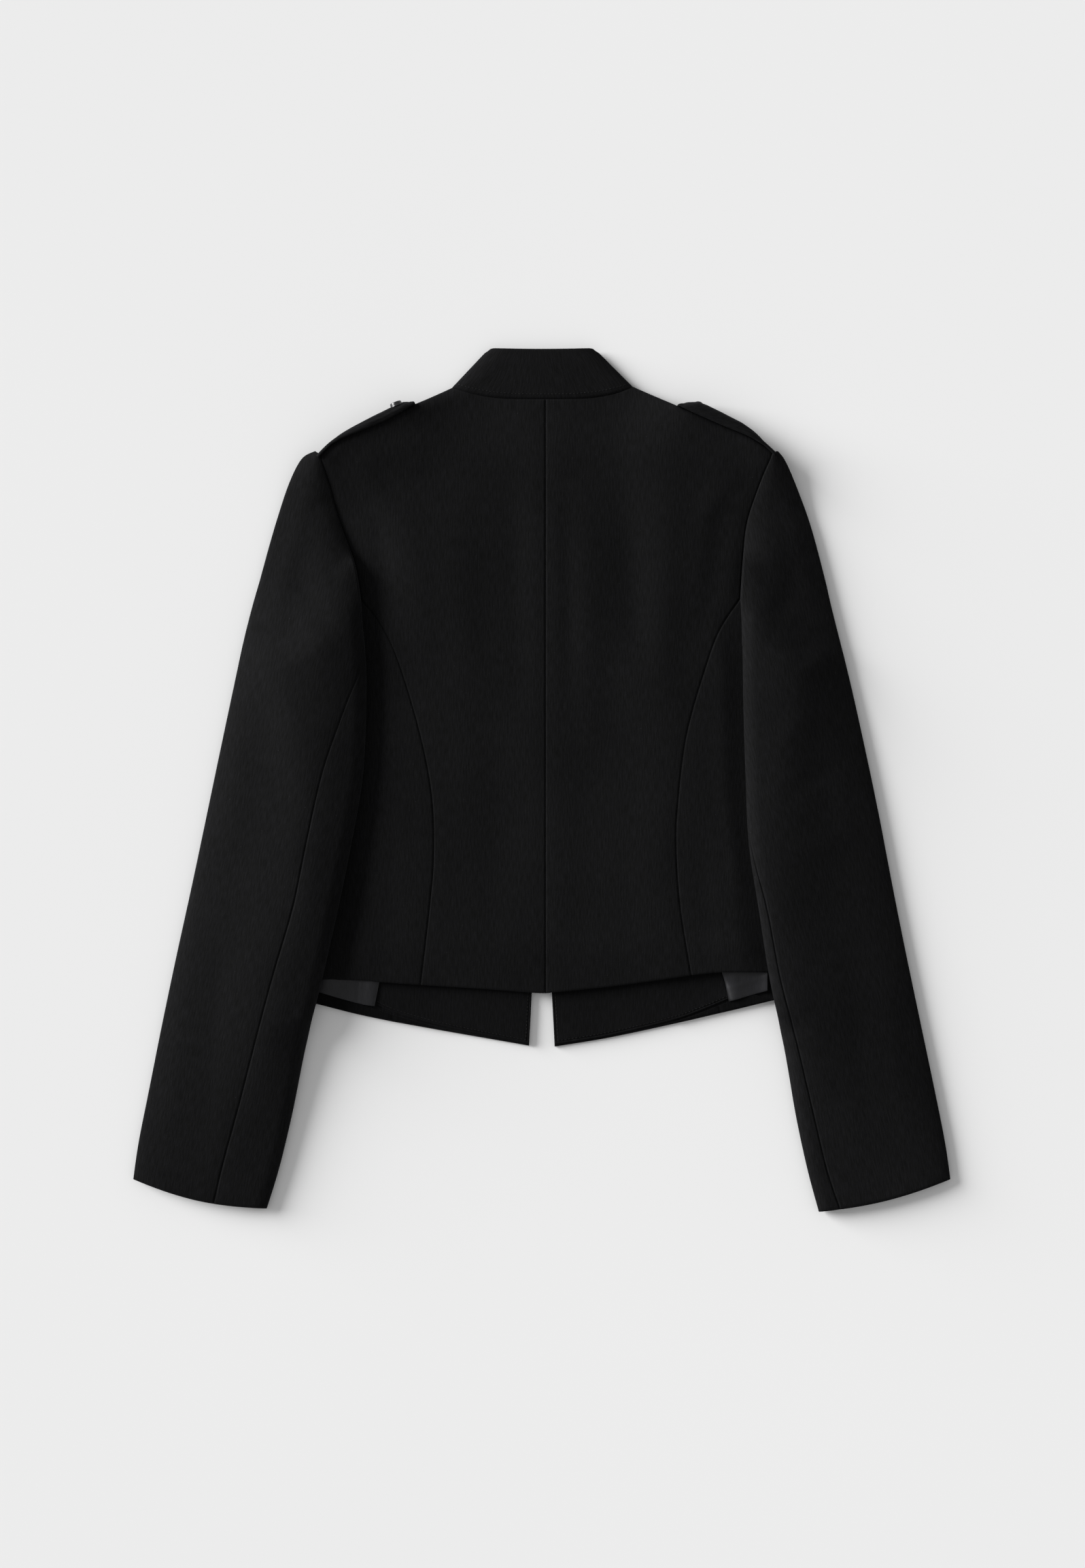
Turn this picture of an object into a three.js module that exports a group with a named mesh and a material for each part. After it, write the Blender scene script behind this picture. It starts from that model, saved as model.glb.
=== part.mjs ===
import * as THREE from 'three';

// Fitted blazer laid flat on its front, so that its back faces up. Sizes are in millimetres.
// +Z points up from the surface it lies on, +Y towards the collar and +X towards the wearer's right.

const wall = 2.6; // a panel's cloth with its interlining and lining
const seamGap = 0.3; // between pieces that are sewn together
const layerHeight = 9; // two walls and the space between them, in a sleeve
const foldRadius = 10; // reach of the rounding where a panel folds over
const undersideRadius = 7; // reach of the same rounding on the side that rests
const sleeveRoll = 26; // the outer edge of a sleeve rounds more slowly
const sleeveFoldRadius = 15; // and so does its inner edge
const facingWall = 1.2;
const liningWall = 1.0;

// The back lies on the front with this space, which rises and falls in soft bands across it.
const laySpace = 3.1;
const bandRise = 0.55;
const bandSpacing = 92;
const hemSpace = 3.8;

// The shoulders rest on the straps, which lift them off the surface.
const shoulderLift = 10;
const liftReach = 44;

// A sleeve lies on the body's side and comes down to the surface beyond it.
const coverBeyond = 10; // past the body's side before the sleeve starts to come down
const coverReach = 20;
const sleeveClearance = 0.9; // keeps the facets of a sleeve off the body beneath it

const centreBack = 3; // the garment lies a little askew, so its centre back isn't at zero
const neckDepth = 9.8; // the neck points lie this far above the back neck's lowest point
const backNeckLow = 314.4;
const frontNeckDrop = 62;
const collarHeight = 41;
const collarTop = 355.3;
const collarTopHalf = 42.3;
const collarDip = 1;
const frontCollarDrop = 57;
const frontEdgeOpensAt = -20; // the front edges meet above this and part below it
const facingTop = -148;
const facingEdgeTop = 7; // from the centre to the facing's edge at its upper end
const facingInset = 2; // the facing ends short of the hem, and the turned hem by less
const hemInset = 1;
const turnedHemTip = 0.7;
const liningReach = 186;
const cuffBow = 5.6; // the open cuff curves by this much past its corners
const bowStartsAt = -120;

const strapWall = 2.2;
const strapRise = 8.5; // how far its back edge stands above the shoulder's edge
const strapTip = 0.27; // shares of the shoulder seam, from the neck, where the strap ends
const strapRoot = 0.985; // and where it starts
const buttonRadius = 5.4;
const buttonHeight = 4.6;
const buttonShare = 0.86; // of the strap's length, from its root
const buttonInset = 6; // from its back edge

const counts = { armhole: 8, princess: 7, side: 6, shoulder: 5, neck: 6, sleeve: 14, under: 9 };

const cloth = new THREE.Color(0x17171a);
const colours = {
  back: cloth,
  front: new THREE.Color(0x151518),
  sleeve: new THREE.Color(0x1b1b1f),
  facing: new THREE.Color(0x141417),
  lining: new THREE.Color(0x2b2b30),
  button: new THREE.Color(0x232326),
};

// The cut of each side as it lies. Rows are x, y along a seam or an edge, from its upper end down
// or from the neck outwards. An arm row is outer x, outer y, inner x, inner y and the share of the
// width, from the outer edge, at which the sleeve's back seam runs.
const left = {
  name: 'left',
  sign: -1,
  shoulder: [[-74, 324], [-104, 310], [-135, 297.5], [-159, 286], [-174, 276.5], [-183, 268.5]],
  armhole: [[-183, 268.5], [-175.5, 245], [-167, 215], [-154, 178.5], [-149, 149]],
  underarm: [[-149, 149], [-168, 118], [-195, 98], [-222, 83]],
  backSeam: [[-149, 149], [-135, 132], [-120, 103], [-102, 45], [-91, -9.5], [-89, -60],
    [-92.5, -105], [-100, -168.5]],
  backHem: [[-100, -168.5], [-52, -171.5], [-9.5, -174.7], [centreBack, -175.3]],
  sideHem: [[-206, -164], [-150, -164.6], [-134, -166], [-100, -168.5]],
  side: [[-222, 83], [-208, 20], [-196, -50], [-199, -110], [-206, -164], [-207, -180]],
  frontSeam: [[-149, 149], [-128, 100], [-112, 40], [-105, -50], [-113, -120], [-123, -197.5]],
  frontHem: [[-123, -197.5], [-79, -205.5], [-25, -215], [-10.6, -217.8]],
  frontSideHem: [[-207, -180], [-186.5, -183.7], [-133, -195.4], [-123, -197.5]],
  frontEdge: [[-0.4, 100], [-0.6, frontEdgeOpensAt], [-4, -90], [-8.4, -177.5], [-10.6, -217.8]],
  facingEdge: [[-131, facingTop], [-134, -166], [-138, -186]],
  turnUp: [[-206, -165], [-182.6, -173], [-151.8, -183.7], [-118.7, -194.3], [-79.5, -205.2]],
  sleeveHead: [[-186.5, 271], [-196, 266.5], [-203, 256.5], [-210.5, 239.5], [-218, 217],
    [-224.5, 195], [-233, 164]],
  arm: [
    [-239.1, 142.8, -147.3, 124.9, 1],
    [-246.4, 113.7, -144.5, 94.1, 0.96],
    [-254.2, 77.3, -144.5, 54.9, 0.84],
    [-264.9, 26.9, -147.3, 2.8, 0.73],
    [-276.6, -29.1, -156.8, -53.2, 0.706],
    [-288.4, -85.1, -168.6, -110.3, 0.706],
    [-300.7, -141.1, -181.4, -166.9, 0.676],
    [-312.5, -197.1, -194.3, -217.8, 0.66],
    [-323.7, -253.1, -205.5, -273.3, 0.63],
    [-332.6, -297.9, -216.2, -318.1, 0.61],
    [-337.1, -328.7, -226.8, -352.8, 0.614],
  ],
  // Rows are the share along the strap from its root, how far its back edge stands out past the
  // shoulder, and its width.
  strap: [[0, 1, 38], [0.2, 1.6, 37], [0.5, 1.8, 34], [0.75, 2.6, 29], [0.9, 3.2, 22], [1, 3.2, 13]],
};

const right = {
  name: 'right',
  sign: 1,
  shoulder: [[75, 325], [110, 309], [146, 293], [169, 283.4], [180.5, 276.5], [190, 270]],
  armhole: [[190, 270], [179, 243], [169, 212], [165.5, 180], [163.5, 150]],
  underarm: [[163.5, 150], [178, 118], [198, 98], [224, 83]],
  backSeam: [[163.5, 150], [148.5, 128], [138, 103], [119.5, 40], [112, -18], [110.5, -55],
    [114, -105], [123, -160.5]],
  backHem: [[123, -160.5], [95, -164.6], [53, -170.2], [centreBack, -175.3]],
  sideHem: [[206, -158], [182, -158], [148, -158], [123, -160.5]],
  side: [[224, 83], [210, 20], [198, -50], [201, -110], [206, -158], [207, -178]],
  frontSeam: [[163.5, 150], [142, 100], [127, 40], [122, -50], [133, -120], [147.5, -191]],
  frontHem: [[147.5, -191], [109, -200], [55, -211], [10.6, -218.4]],
  frontSideHem: [[207, -178], [190, -181.4], [163, -187.6], [147.5, -191]],
  frontEdge: [[0.4, 100], [0.6, frontEdgeOpensAt], [4, -90], [8.4, -177.5], [10.6, -218.4]],
  facingEdge: [[144, facingTop], [148.4, -158], [155.5, -181.5]],
  turnUp: [[206, -166], [172.5, -175.3], [156.8, -181.5], [130, -192], [108, -199.6]],
  sleeveHead: [[194.2, 271], [199, 265.4], [203.8, 256.5], [211, 239.7], [219.5, 217.3],
    [226.2, 194.9], [234.6, 162.4]],
  arm: [
    [239.1, 142.8, 164.6, 130.5, 1],
    [246.4, 113.7, 165.2, 96.9, 1],
    [255.4, 77.3, 165.8, 57.7, 1],
    [266.6, 26.9, 167.4, 6.2, 1],
    [278.3, -29.1, 170.2, -51.5, 0.985],
    [289, -85.1, 178.6, -107.5, 0.94],
    [300.2, -141.1, 187.6, -164.6, 0.925],
    [311.9, -197.1, 199.9, -220.6, 0.905],
    [323.7, -253.1, 209.4, -275.5, 0.877],
    [332.6, -297.9, 219, -320.3, 0.867],
    [337.1, -328.7, 228.5, -355.6, 0.845],
  ],
  strap: [[0, 1, 38], [0.2, 5, 37], [0.5, 8, 34], [0.75, 8, 29], [0.9, 7, 22], [1, 5, 13]],
};
const sides = [left, right];
const frontSeamShare = 0.8; // of the sleeve's width, on the side that rests

// Curves and distances

const point = (x, y) => new THREE.Vector2(x, y);
const mix = THREE.MathUtils.lerp;
const smooth = (t) => THREE.MathUtils.smoothstep(t, 0, 1);

function curve(rows) {
  return new THREE.SplineCurve(rows.map(([x, y]) => point(x, y)));
}

// Points of a curve at the given shares of its length.
function along(rows, shares) {
  const line = curve(rows);
  return shares.map((share) => line.getPointAt(Math.min(1, Math.max(0, share))));
}

function even(count) {
  return Array.from({ length: count + 1 }, (_, k) => k / count);
}

function outline(rows, count = 24) {
  return along(rows, even(count));
}

function nearest(line, x, y) {
  let best = { distance: Infinity, share: 0 };
  for (let k = 0; k < line.length - 1; k += 1) {
    const start = line[k];
    const run = line[k + 1].clone().sub(start);
    const t = THREE.MathUtils.clamp(point(x, y).sub(start).dot(run) / run.lengthSq(), 0, 1);
    const distance = Math.hypot(x - start.x - run.x * t, y - start.y - run.y * t);
    if (distance < best.distance) best = { distance, share: (k + t) / (line.length - 1) };
  }
  return best;
}

function inside(polygon, x, y) {
  let odd = false;
  polygon.forEach((a, k) => {
    const b = polygon[(k + 1) % polygon.length];
    if (a.y > y !== b.y > y && x < ((b.x - a.x) * (y - a.y)) / (b.y - a.y) + a.x) odd = !odd;
  });
  return odd;
}

// Quarter-round rise from 0 at an edge to 1 at the given reach.
function rounding(distance, reach) {
  const t = THREE.MathUtils.clamp(1 - distance / reach, 0, 1);
  return Math.sqrt(1 - t * t);
}

// Where the layers fold, and the part of the body that lies under each sleeve

for (const side of sides) {
  side.shoulderLine = outline(side.shoulder);
  side.sideLine = outline(side.side);
  const raised = side.underarm.map(([x, y], k) => point(x, y + 16 - k));
  const inner = side.sign * 100;
  side.covered = [...raised, ...side.sideLine.slice(1), point(inner, -200), point(inner, 165)];
}

const foldLines = sides.flatMap((side) => [side.shoulderLine, side.sideLine]);

function foldDistance(x, y) {
  return Math.min(...foldLines.map((line) => nearest(line, x, y).distance));
}

// Height of the garment's underside above the surface.
function lift(x, y) {
  const side = x < centreBack ? left : right;
  const { distance, share } = nearest(side.shoulderLine, x, y);
  const ramp = Math.max(0, 1 - distance / liftReach);
  return shoulderLift * smooth(share / strapTip) * ramp;
}

function space(x, y) {
  const bands = laySpace + bandRise * Math.cos((2 * Math.PI * (x - centreBack)) / bandSpacing);
  return mix(bands, hemSpace, smooth((-110 - y) / 40));
}

function bodyHeight(x, y) {
  return 2 * wall + space(x, y);
}

// Height of the part of a sleeve that rests on the body's side.
function sleeveBase(side, x, y) {
  const edge = nearest([...side.covered, side.covered[0]], x, y).distance;
  const out = inside(side.covered, x, y) ? -edge : edge;
  const t = THREE.MathUtils.clamp((out - coverBeyond) / coverReach, 0, 1);
  const cover = (bodyHeight(x, y) + sleeveClearance) * 0.5 * (1 + Math.cos(Math.PI * t));
  return Math.max(lift(x, y), cover);
}

// Walls: a grid of outer points and a grid of inner points, closed round their edges

function wallGeometry(outer, inner) {
  const rows = outer.length;
  const columns = outer[0].length;
  const positions = [...outer.flat(), ...inner.flat()].flatMap((p) => [p.x, p.y, p.z]);
  const index = [];
  const at = (layer, i, j) => layer * rows * columns + i * columns + j;
  const quad = (a, b, c, d) => index.push(a, b, c, a, c, d);
  for (let i = 0; i < rows - 1; i += 1) {
    for (let j = 0; j < columns - 1; j += 1) {
      quad(at(0, i, j), at(0, i + 1, j), at(0, i + 1, j + 1), at(0, i, j + 1));
      quad(at(1, i, j), at(1, i, j + 1), at(1, i + 1, j + 1), at(1, i + 1, j));
    }
  }
  // Both rims of a seam split their quads the same way, so that they stay apart where they twist.
  const rimQuad = ([i, j], [nextI, nextJ], flipped) => {
    const corners = [at(0, i, j), at(0, nextI, nextJ), at(1, nextI, nextJ), at(1, i, j)];
    if (flipped) corners.push(corners.shift());
    quad(...corners);
  };
  for (let j = 0; j < columns - 1; j += 1) {
    rimQuad([0, j], [0, j + 1], false);
    rimQuad([rows - 1, j + 1], [rows - 1, j], true);
  }
  for (let i = 0; i < rows - 1; i += 1) {
    rimQuad([i, columns - 1], [i + 1, columns - 1], false);
    rimQuad([i + 1, 0], [i, 0], true);
  }
  if (volume(positions, index) < 0) index.reverse();
  const geometry = new THREE.BufferGeometry();
  geometry.setAttribute('position', new THREE.Float32BufferAttribute(positions, 3));
  geometry.setIndex(index);
  geometry.computeVertexNormals();
  return geometry;
}

function volume(positions, index) {
  const corner = (k) => new THREE.Vector3().fromArray(positions, 3 * index[k]);
  let total = 0;
  for (let k = 0; k < index.length; k += 3) {
    total += corner(k).dot(corner(k + 1).cross(corner(k + 2)));
  }
  return total;
}

// A panel's plan, spread between four boundaries. Each edge is a 'seam', which stays clear of the
// piece it is sewn to, a 'fold', where the layer turns over, or 'free'. A fold may end at a column,
// and the rest of its edge is a seam.

function spread({ top, bottom, start, end, kinds, folded = Infinity }) {
  const columns = top.length - 1;
  const rows = start.length - 1;
  const shares = (line) => {
    const lengths = [0];
    for (let k = 1; k < line.length; k += 1) {
      lengths.push(lengths[k - 1] + line[k].distanceTo(line[k - 1]));
    }
    return lengths.map((length) => length / lengths[lengths.length - 1]);
  };
  const blend = (a, b) => shares(a).map((share, k) => (share + shares(b)[k]) / 2);
  const across = blend(top, bottom);
  const down = blend(start, end);
  const plan = [];
  for (let i = 0; i <= columns; i += 1) {
    const u = across[i];
    plan.push([]);
    for (let j = 0; j <= rows; j += 1) {
      const v = down[j];
      const p = top[i].clone().multiplyScalar(1 - v).addScaledVector(bottom[i], v);
      p.addScaledVector(start[j], 1 - u).addScaledVector(end[j], u);
      p.addScaledVector(top[0], -(1 - u) * (1 - v)).addScaledVector(top[columns], -u * (1 - v));
      p.addScaledVector(bottom[0], -(1 - u) * v).addScaledVector(bottom[columns], -u * v);
      plan[i].push(p);
    }
  }
  const lines = {
    start: plan[0].map((_, j) => plan.map((column) => column[j])),
    end: plan[0].map((_, j) => plan.map((column) => column[j]).reverse()),
    top: plan.map((column) => [...column]),
    bottom: plan.map((column) => [...column].reverse()),
  };
  for (const [edge, sets] of Object.entries(lines)) {
    sets.forEach((line, k) => {
      const sewn = kinds[edge] === 'seam' || (kinds[edge] === 'fold' && k >= folded);
      if (sewn) line[0].add(line[1].clone().sub(line[0]).setLength(seamGap / 2));
    });
  }
  return { plan, lines };
}

// The wall's inner points draw in by its thickness where it folds over.
function drawIn(spreadPlan, { kinds, folded = Infinity }, amount) {
  const { plan, lines } = spreadPlan;
  const moved = new Map();
  for (const [edge, sets] of Object.entries(lines)) {
    if (kinds[edge] !== 'fold') continue;
    sets.forEach((line, k) => {
      if (k > folded) return;
      const inward = line[1].clone().sub(line[0]).normalize();
      for (const p of line) {
        const reach = Math.max(0, 1 - p.distanceTo(line[0]) / foldRadius);
        const shift = moved.get(p) ?? point(0, 0);
        moved.set(p, shift.addScaledVector(inward, amount * reach));
      }
    });
  }
  return plan.map((column) => column.map((p) => p.clone().add(moved.get(p) ?? point(0, 0))));
}

// Panels of the body: 'over' ones make the layer that faces up, 'under' ones the layer that rests.
function bodyPanel(layer, boundaries) {
  const spreadPlan = spread(boundaries);
  const innerPlan = drawIn(spreadPlan, boundaries, wall);
  const over = layer === 'over';
  const reach = over ? foldRadius : undersideRadius;
  const level = (p, inset) => {
    const base = lift(p.x, p.y);
    const full = bodyHeight(p.x, p.y);
    const height = full / 2 - seamGap / 2 - inset;
    const round = rounding(Math.max(0, foldDistance(p.x, p.y) - inset), reach - inset);
    const rise = seamGap / 2 + height * round;
    return new THREE.Vector3(p.x, p.y, base + full / 2 + (over ? rise : -rise));
  };
  const outer = spreadPlan.plan.map((column) => column.map((p) => level(p, 0)));
  const inner = innerPlan.map((column) => column.map((p) => level(p, wall)));
  return wallGeometry(outer, inner);
}

// A flat piece lying on the inside of a front.
function layer(boundaries, heights, thickness) {
  const { plan } = spread(boundaries);
  const last = plan[0].length - 1;
  const level = (extra) => plan.map((column) => column.map((p, j) => {
    const base = mix(heights.top, heights.bottom, smooth(j / last));
    return new THREE.Vector3(p.x, p.y, base + extra);
  }));
  return wallGeometry(level(thickness), level(0));
}

// Seam points shared by the pieces on both sides of a seam

const armholeShares = even(counts.armhole).map((share) => share ** 1.6);
const backNeck = (x) => {
  const reach = x < centreBack ? centreBack - left.shoulder[0][0] : right.shoulder[0][0] - centreBack;
  return backNeckLow + neckDepth * Math.abs((x - centreBack) / reach) ** 3;
};
const neckHalf = (side) => even(counts.neck).map((share) => {
  const x = mix(side.shoulder[0][0], centreBack, share);
  return point(x, backNeck(x));
});

// A curve that drops from a neck fold to the centre front, as the lower half of the neckline.
function frontNeck(side, foldX, foldY, drop, steps) {
  const reach = Math.abs(foldX) - 0.4;
  return steps.map((share) => {
    const turn = (share * Math.PI) / 2;
    return point(side.sign * (0.4 + reach * Math.cos(turn)), foldY - drop * Math.sin(turn));
  });
}

function seamPoints(side) {
  const tipFirst = (rows, count) => along([...rows].reverse(), even(count));
  const armhole = along(side.armhole, armholeShares);
  const princess = along(side.backSeam, even(counts.princess));
  const frontSeam = along(side.frontSeam, even(counts.princess));
  const [neckX, neckY] = side.shoulder[0];
  return {
    shoulder: tipFirst(side.shoulder, counts.shoulder),
    armhole,
    princess,
    frontSeam,
    neck: neckHalf(side),
    frontNeck: frontNeck(side, neckX, neckY, frontNeckDrop, even(counts.neck)),
  };
}

// Points of a curve with the same spacing as the points of another.
function matched(rows, line) {
  const lengths = [0];
  for (let k = 1; k < line.length; k += 1) {
    lengths.push(lengths[k - 1] + line[k].distanceTo(line[k - 1]));
  }
  return along(rows, lengths.map((length) => length / lengths[lengths.length - 1]));
}

// The back: two halves joined at the centre seam, from the neck and shoulder to the hem.
function backPanel(side) {
  const seams = seamPoints(side);
  const start = [...seams.armhole, ...seams.princess.slice(1)];
  const top = [...seams.shoulder, ...seams.neck.slice(1)];
  const centre = [[centreBack, backNeckLow], [centreBack, 0], [centreBack, -175.3]];
  return bodyPanel('over', {
    top,
    bottom: matched(side.backHem, top),
    start,
    end: matched(centre, start),
    kinds: { top: 'fold', bottom: 'free', start: 'seam', end: 'seam' },
    folded: counts.shoulder,
  });
}

const sideShares = even(counts.side).map((share) => share ** 2);

// The side back, between the curved back seam and the side fold.
function sideBackPanel(side) {
  const end = seamPoints(side).princess;
  const reach = side.side.slice(0, -1);
  return bodyPanel('over', {
    top: along([...side.underarm].reverse(), sideShares),
    bottom: along(side.sideHem, sideShares),
    start: along(reach, even(counts.princess)),
    end,
    kinds: { top: 'free', bottom: 'free', start: 'fold', end: 'seam' },
  });
}

// A front: from the shoulder, front neck and armhole to the hem, with its edge at the centre.
function frontPanel(side) {
  const seams = seamPoints(side);
  const start = [...seams.armhole, ...seams.frontSeam.slice(1)];
  const top = [...seams.shoulder, ...seams.frontNeck.slice(1)];
  const neckEnd = seams.frontNeck[counts.neck];
  const edge = [[neckEnd.x, neckEnd.y], ...side.frontEdge];
  return bodyPanel('under', {
    top,
    bottom: matched(side.frontHem, top),
    start,
    end: matched(edge, start),
    kinds: { top: 'fold', bottom: 'free', start: 'seam', end: 'free' },
    folded: counts.shoulder,
  });
}

function sideFrontPanel(side) {
  return bodyPanel('under', {
    top: along([...side.underarm].reverse(), sideShares),
    bottom: along(side.frontSideHem, sideShares),
    start: along(side.side, even(counts.princess)),
    end: seamPoints(side).frontSeam,
    kinds: { top: 'free', bottom: 'free', start: 'fold', end: 'seam' },
  });
}

// The facing inside a front's edge. It ends at the turned-up hem, and at the hem past that.
function facing(side) {
  const [head, middle, foot] = side.facingEdge;
  const corner = side.frontHem[side.frontHem.length - 1];
  const upper = [head, [side.sign * facingEdgeTop, facingTop]];
  const lower = [foot, side.turnUp[3], side.turnUp[4], side.frontHem[2], corner]
    .map(([x, y]) => [x, y + facingInset]);
  return layer({
    top: along(upper, even(8)),
    bottom: along(lower, even(8)),
    start: along([head, middle, lower[0]], even(3)),
    end: along([upper[1], lower[4]], even(3)),
    kinds: { top: 'free', bottom: 'seam', start: 'seam', end: 'free' },
  }, { top: wall + seamGap, bottom: wall + seamGap }, facingWall);
}

// The self cloth of the side fronts' hem, turned up inside and running out towards the centre.
function turnedHem(side) {
  const hem = [...side.frontSideHem.slice(1, 3), side.frontHem[0], side.frontHem[1]]
    .map(([x, y]) => [x, y + hemInset]);
  const tip = hem[hem.length - 1];
  const upper = [...side.turnUp.slice(1, 4), [tip[0], tip[1] + turnedHemTip]];
  return layer({
    top: along(upper, even(8)),
    bottom: along(hem, even(8)),
    start: along([upper[0], hem[0]], even(2)),
    end: along([upper[3], tip], even(2)),
    kinds: { top: 'seam', bottom: 'free', start: 'free', end: 'free' },
  }, { top: wall + seamGap, bottom: wall + seamGap }, facingWall);
}

// The lining between the facing and the side, lying over the upper edge of the turned-up hem.
function lining(side) {
  const [head, middle, foot] = side.facingEdge;
  const sideX = side.sign * liningReach;
  const upper = [[sideX, facingTop], head];
  const lower = [[sideX, side.turnUp[1][1] - 1], side.turnUp[2], foot];
  const resting = wall + facingWall + 2 * seamGap;
  return layer({
    top: along(upper, even(5)),
    bottom: along(lower, even(5)),
    start: along([upper[0], lower[0]], even(4)),
    end: along([head, middle, foot], even(4)),
    kinds: { top: 'free', bottom: 'free', start: 'free', end: 'seam' },
  }, { top: resting, bottom: resting }, liningWall);
}

// The collar: a band that stands round the neck, pressed flat. Its back lies on top, it folds at
// both slopes, and its two front ends meet beneath at the centre.
function collar() {
  const foldSteps = [0, 0.12, 0.45];
  const steps = even(counts.neck).slice(1);
  const rows = even(4);
  const folds = sides.map((side) => ({
    side,
    low: point(...side.shoulder[0]),
    high: point(side.sign * collarTopHalf, collarTop),
  }));
  const place = (fold, step, under, v) => {
    if (step > 0 && step < steps[0]) {
      return place(fold, 0, under, v).lerp(place(fold, steps[0], under, v), step / steps[0]);
    }
    const { side, low, high } = fold;
    const foldX = mix(low.x, high.x, v);
    const foldY = mix(low.y, high.y, v);
    if (under) {
      const drop = mix(frontNeckDrop, frontCollarDrop, v);
      return frontNeck(side, foldX, foldY, drop, [step])[0];
    }
    const x = mix(foldX, centreBack * (1 - v), step);
    const across = Math.abs((x - centreBack * (1 - v)) / (foldX - centreBack * (1 - v)));
    const upper = collarTop - collarDip * (1 - across ** 2);
    return point(x, mix(backNeck(mix(low.x, centreBack, step)), upper, v));
  };
  const ring = (v, inset) => {
    const points = [];
    const add = (fold, step, under) => {
      const p = place(fold, step, under, v);
      const foldPoint = place(fold, 0, under, v);
      const reach = Math.max(0, 1 - p.distanceTo(foldPoint) / foldRadius);
      p.x -= fold.side.sign * inset * reach;
      const full = 2 * wall + laySpace + bandRise;
      const base = lift(p.x, p.y);
      const span = Math.max(0, p.distanceTo(foldPoint) - inset * (1 - reach));
      const round = rounding(span, (under ? undersideRadius : foldRadius) - inset);
      const rise = (full / 2 - inset) * round;
      points.push(new THREE.Vector3(p.x, p.y, base + full / 2 + (under ? -rise : rise)));
    };
    const near = foldSteps.map((step) => step * steps[0]);
    const fromFold = [...near, ...steps];
    [...fromFold].reverse().forEach((step) => add(folds[0], step, true));
    fromFold.slice(1).forEach((step) => add(folds[0], step, false));
    [...fromFold].reverse().slice(1).forEach((step) => add(folds[1], step, false));
    fromFold.slice(1).forEach((step) => add(folds[1], step, true));
    return points;
  };
  const seamShare = (2 * seamGap) / collarHeight;
  const shares = rows.map((v) => (v === 0 ? seamShare : v));
  return wallGeometry(shares.map((v) => ring(v, 0)), shares.map((v) => ring(v, wall)));
}

// Sleeves: flattened tubes. A row runs across one, from its outer edge to the armhole seam at the
// sleeve's head, and to its inner fold below that.

function sleeveRows(side) {
  const edges = along(side.sleeveHead, armholeShares);
  const seam = along(side.armhole, armholeShares);
  const last = counts.armhole;
  const head = edges.map((edge, k) => ({
    outer: edge,
    inner: seam[k],
    fold: k === last ? 0.5 : 0,
    backSeam: 1,
    frontSeam: 1,
    bow: 0,
  }));
  const arm = side.arm.map(([outerX, outerY, innerX, innerY, backSeam]) => ({
    outer: point(outerX, outerY),
    inner: point(innerX, innerY),
    fold: 1,
    backSeam,
    frontSeam: frontSeamShare,
    bow: cuffBow * smooth((bowStartsAt - outerY) / (bowStartsAt - side.arm[10][1])),
  }));
  return [...head, ...arm];
}

// A turn goes once round the tube: 0 at the outer edge, 1 at the inner one by way of the upper
// side, and on to 2, or from 0 to -1, by way of the side that rests.
function turnAt(share) {
  return Math.acos(THREE.MathUtils.clamp(1 - 2 * share, -1, 1)) / Math.PI;
}

function sleevePoint(side, row, turn, inset) {
  const under = turn < 0 || turn > 1;
  let part = turn;
  if (turn < 0) part = -turn;
  if (turn > 1) part = 2 - turn;
  const share = (1 - Math.cos(part * Math.PI)) / 2;
  const run = row.inner.clone().sub(row.outer);
  const width = run.length();
  run.divideScalar(width);
  const open = seamGap / 2 * (1 - row.fold);
  const clear = width - open - inset * (1 + row.fold);
  const p = row.outer.clone().addScaledVector(run, inset + share * clear);
  const down = point(-run.y, run.x).multiplyScalar(-side.sign * row.bow);
  p.addScaledVector(down, -Math.sin(Math.PI * share));
  const base = sleeveBase(side, p.x, p.y);
  const half = layerHeight / 2;
  const outerReach = (under ? undersideRadius : sleeveRoll) - inset;
  const innerReach = (under ? undersideRadius : sleeveFoldRadius) - inset;
  const atFold = mix(1, rounding((1 - share) * clear, innerReach), row.fold);
  const rise = (half - inset) * rounding(share * clear, outerReach) * atFold;
  return new THREE.Vector3(p.x, p.y, base + half + (under ? -rise : rise));
}

function sleevePanel(side, rows, steps, ends) {
  const ring = (row, inset) => {
    const [from, to] = ends(row);
    return even(steps).map((t) => sleevePoint(side, row, mix(from, to, t), inset));
  };
  return wallGeometry(rows.map((row) => ring(row, 0)), rows.map((row) => ring(row, wall)));
}

function seamTurn(row, share, clearance) {
  const width = row.outer.distanceTo(row.inner);
  return turnAt(Math.min(share, 1) + clearance / width);
}

// The top sleeve wraps the outer edge, from the front seam beneath to the back seam on top.
function topSleeve(side) {
  return sleevePanel(side, sleeveRows(side), counts.sleeve, (row) => [
    -seamTurn(row, row.frontSeam, -seamGap / 2),
    seamTurn(row, row.backSeam, -seamGap / 2),
  ]);
}

// The under sleeve wraps the inner fold between the same two seams.
function underSleeve(side) {
  const rows = sleeveRows(side).slice(counts.armhole + 1);
  return sleevePanel(side, rows, counts.under, (row) => [
    row.backSeam < 1 ? seamTurn(row, row.backSeam, seamGap / 2) : 1.02,
    2 - seamTurn(row, row.frontSeam, seamGap / 2),
  ]);
}

// Shoulder straps: sewn into the head of the sleeve and buttoned near the neck. The back edge of
// each stands out past the shoulder seam, and the rest lies beneath the front.

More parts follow.
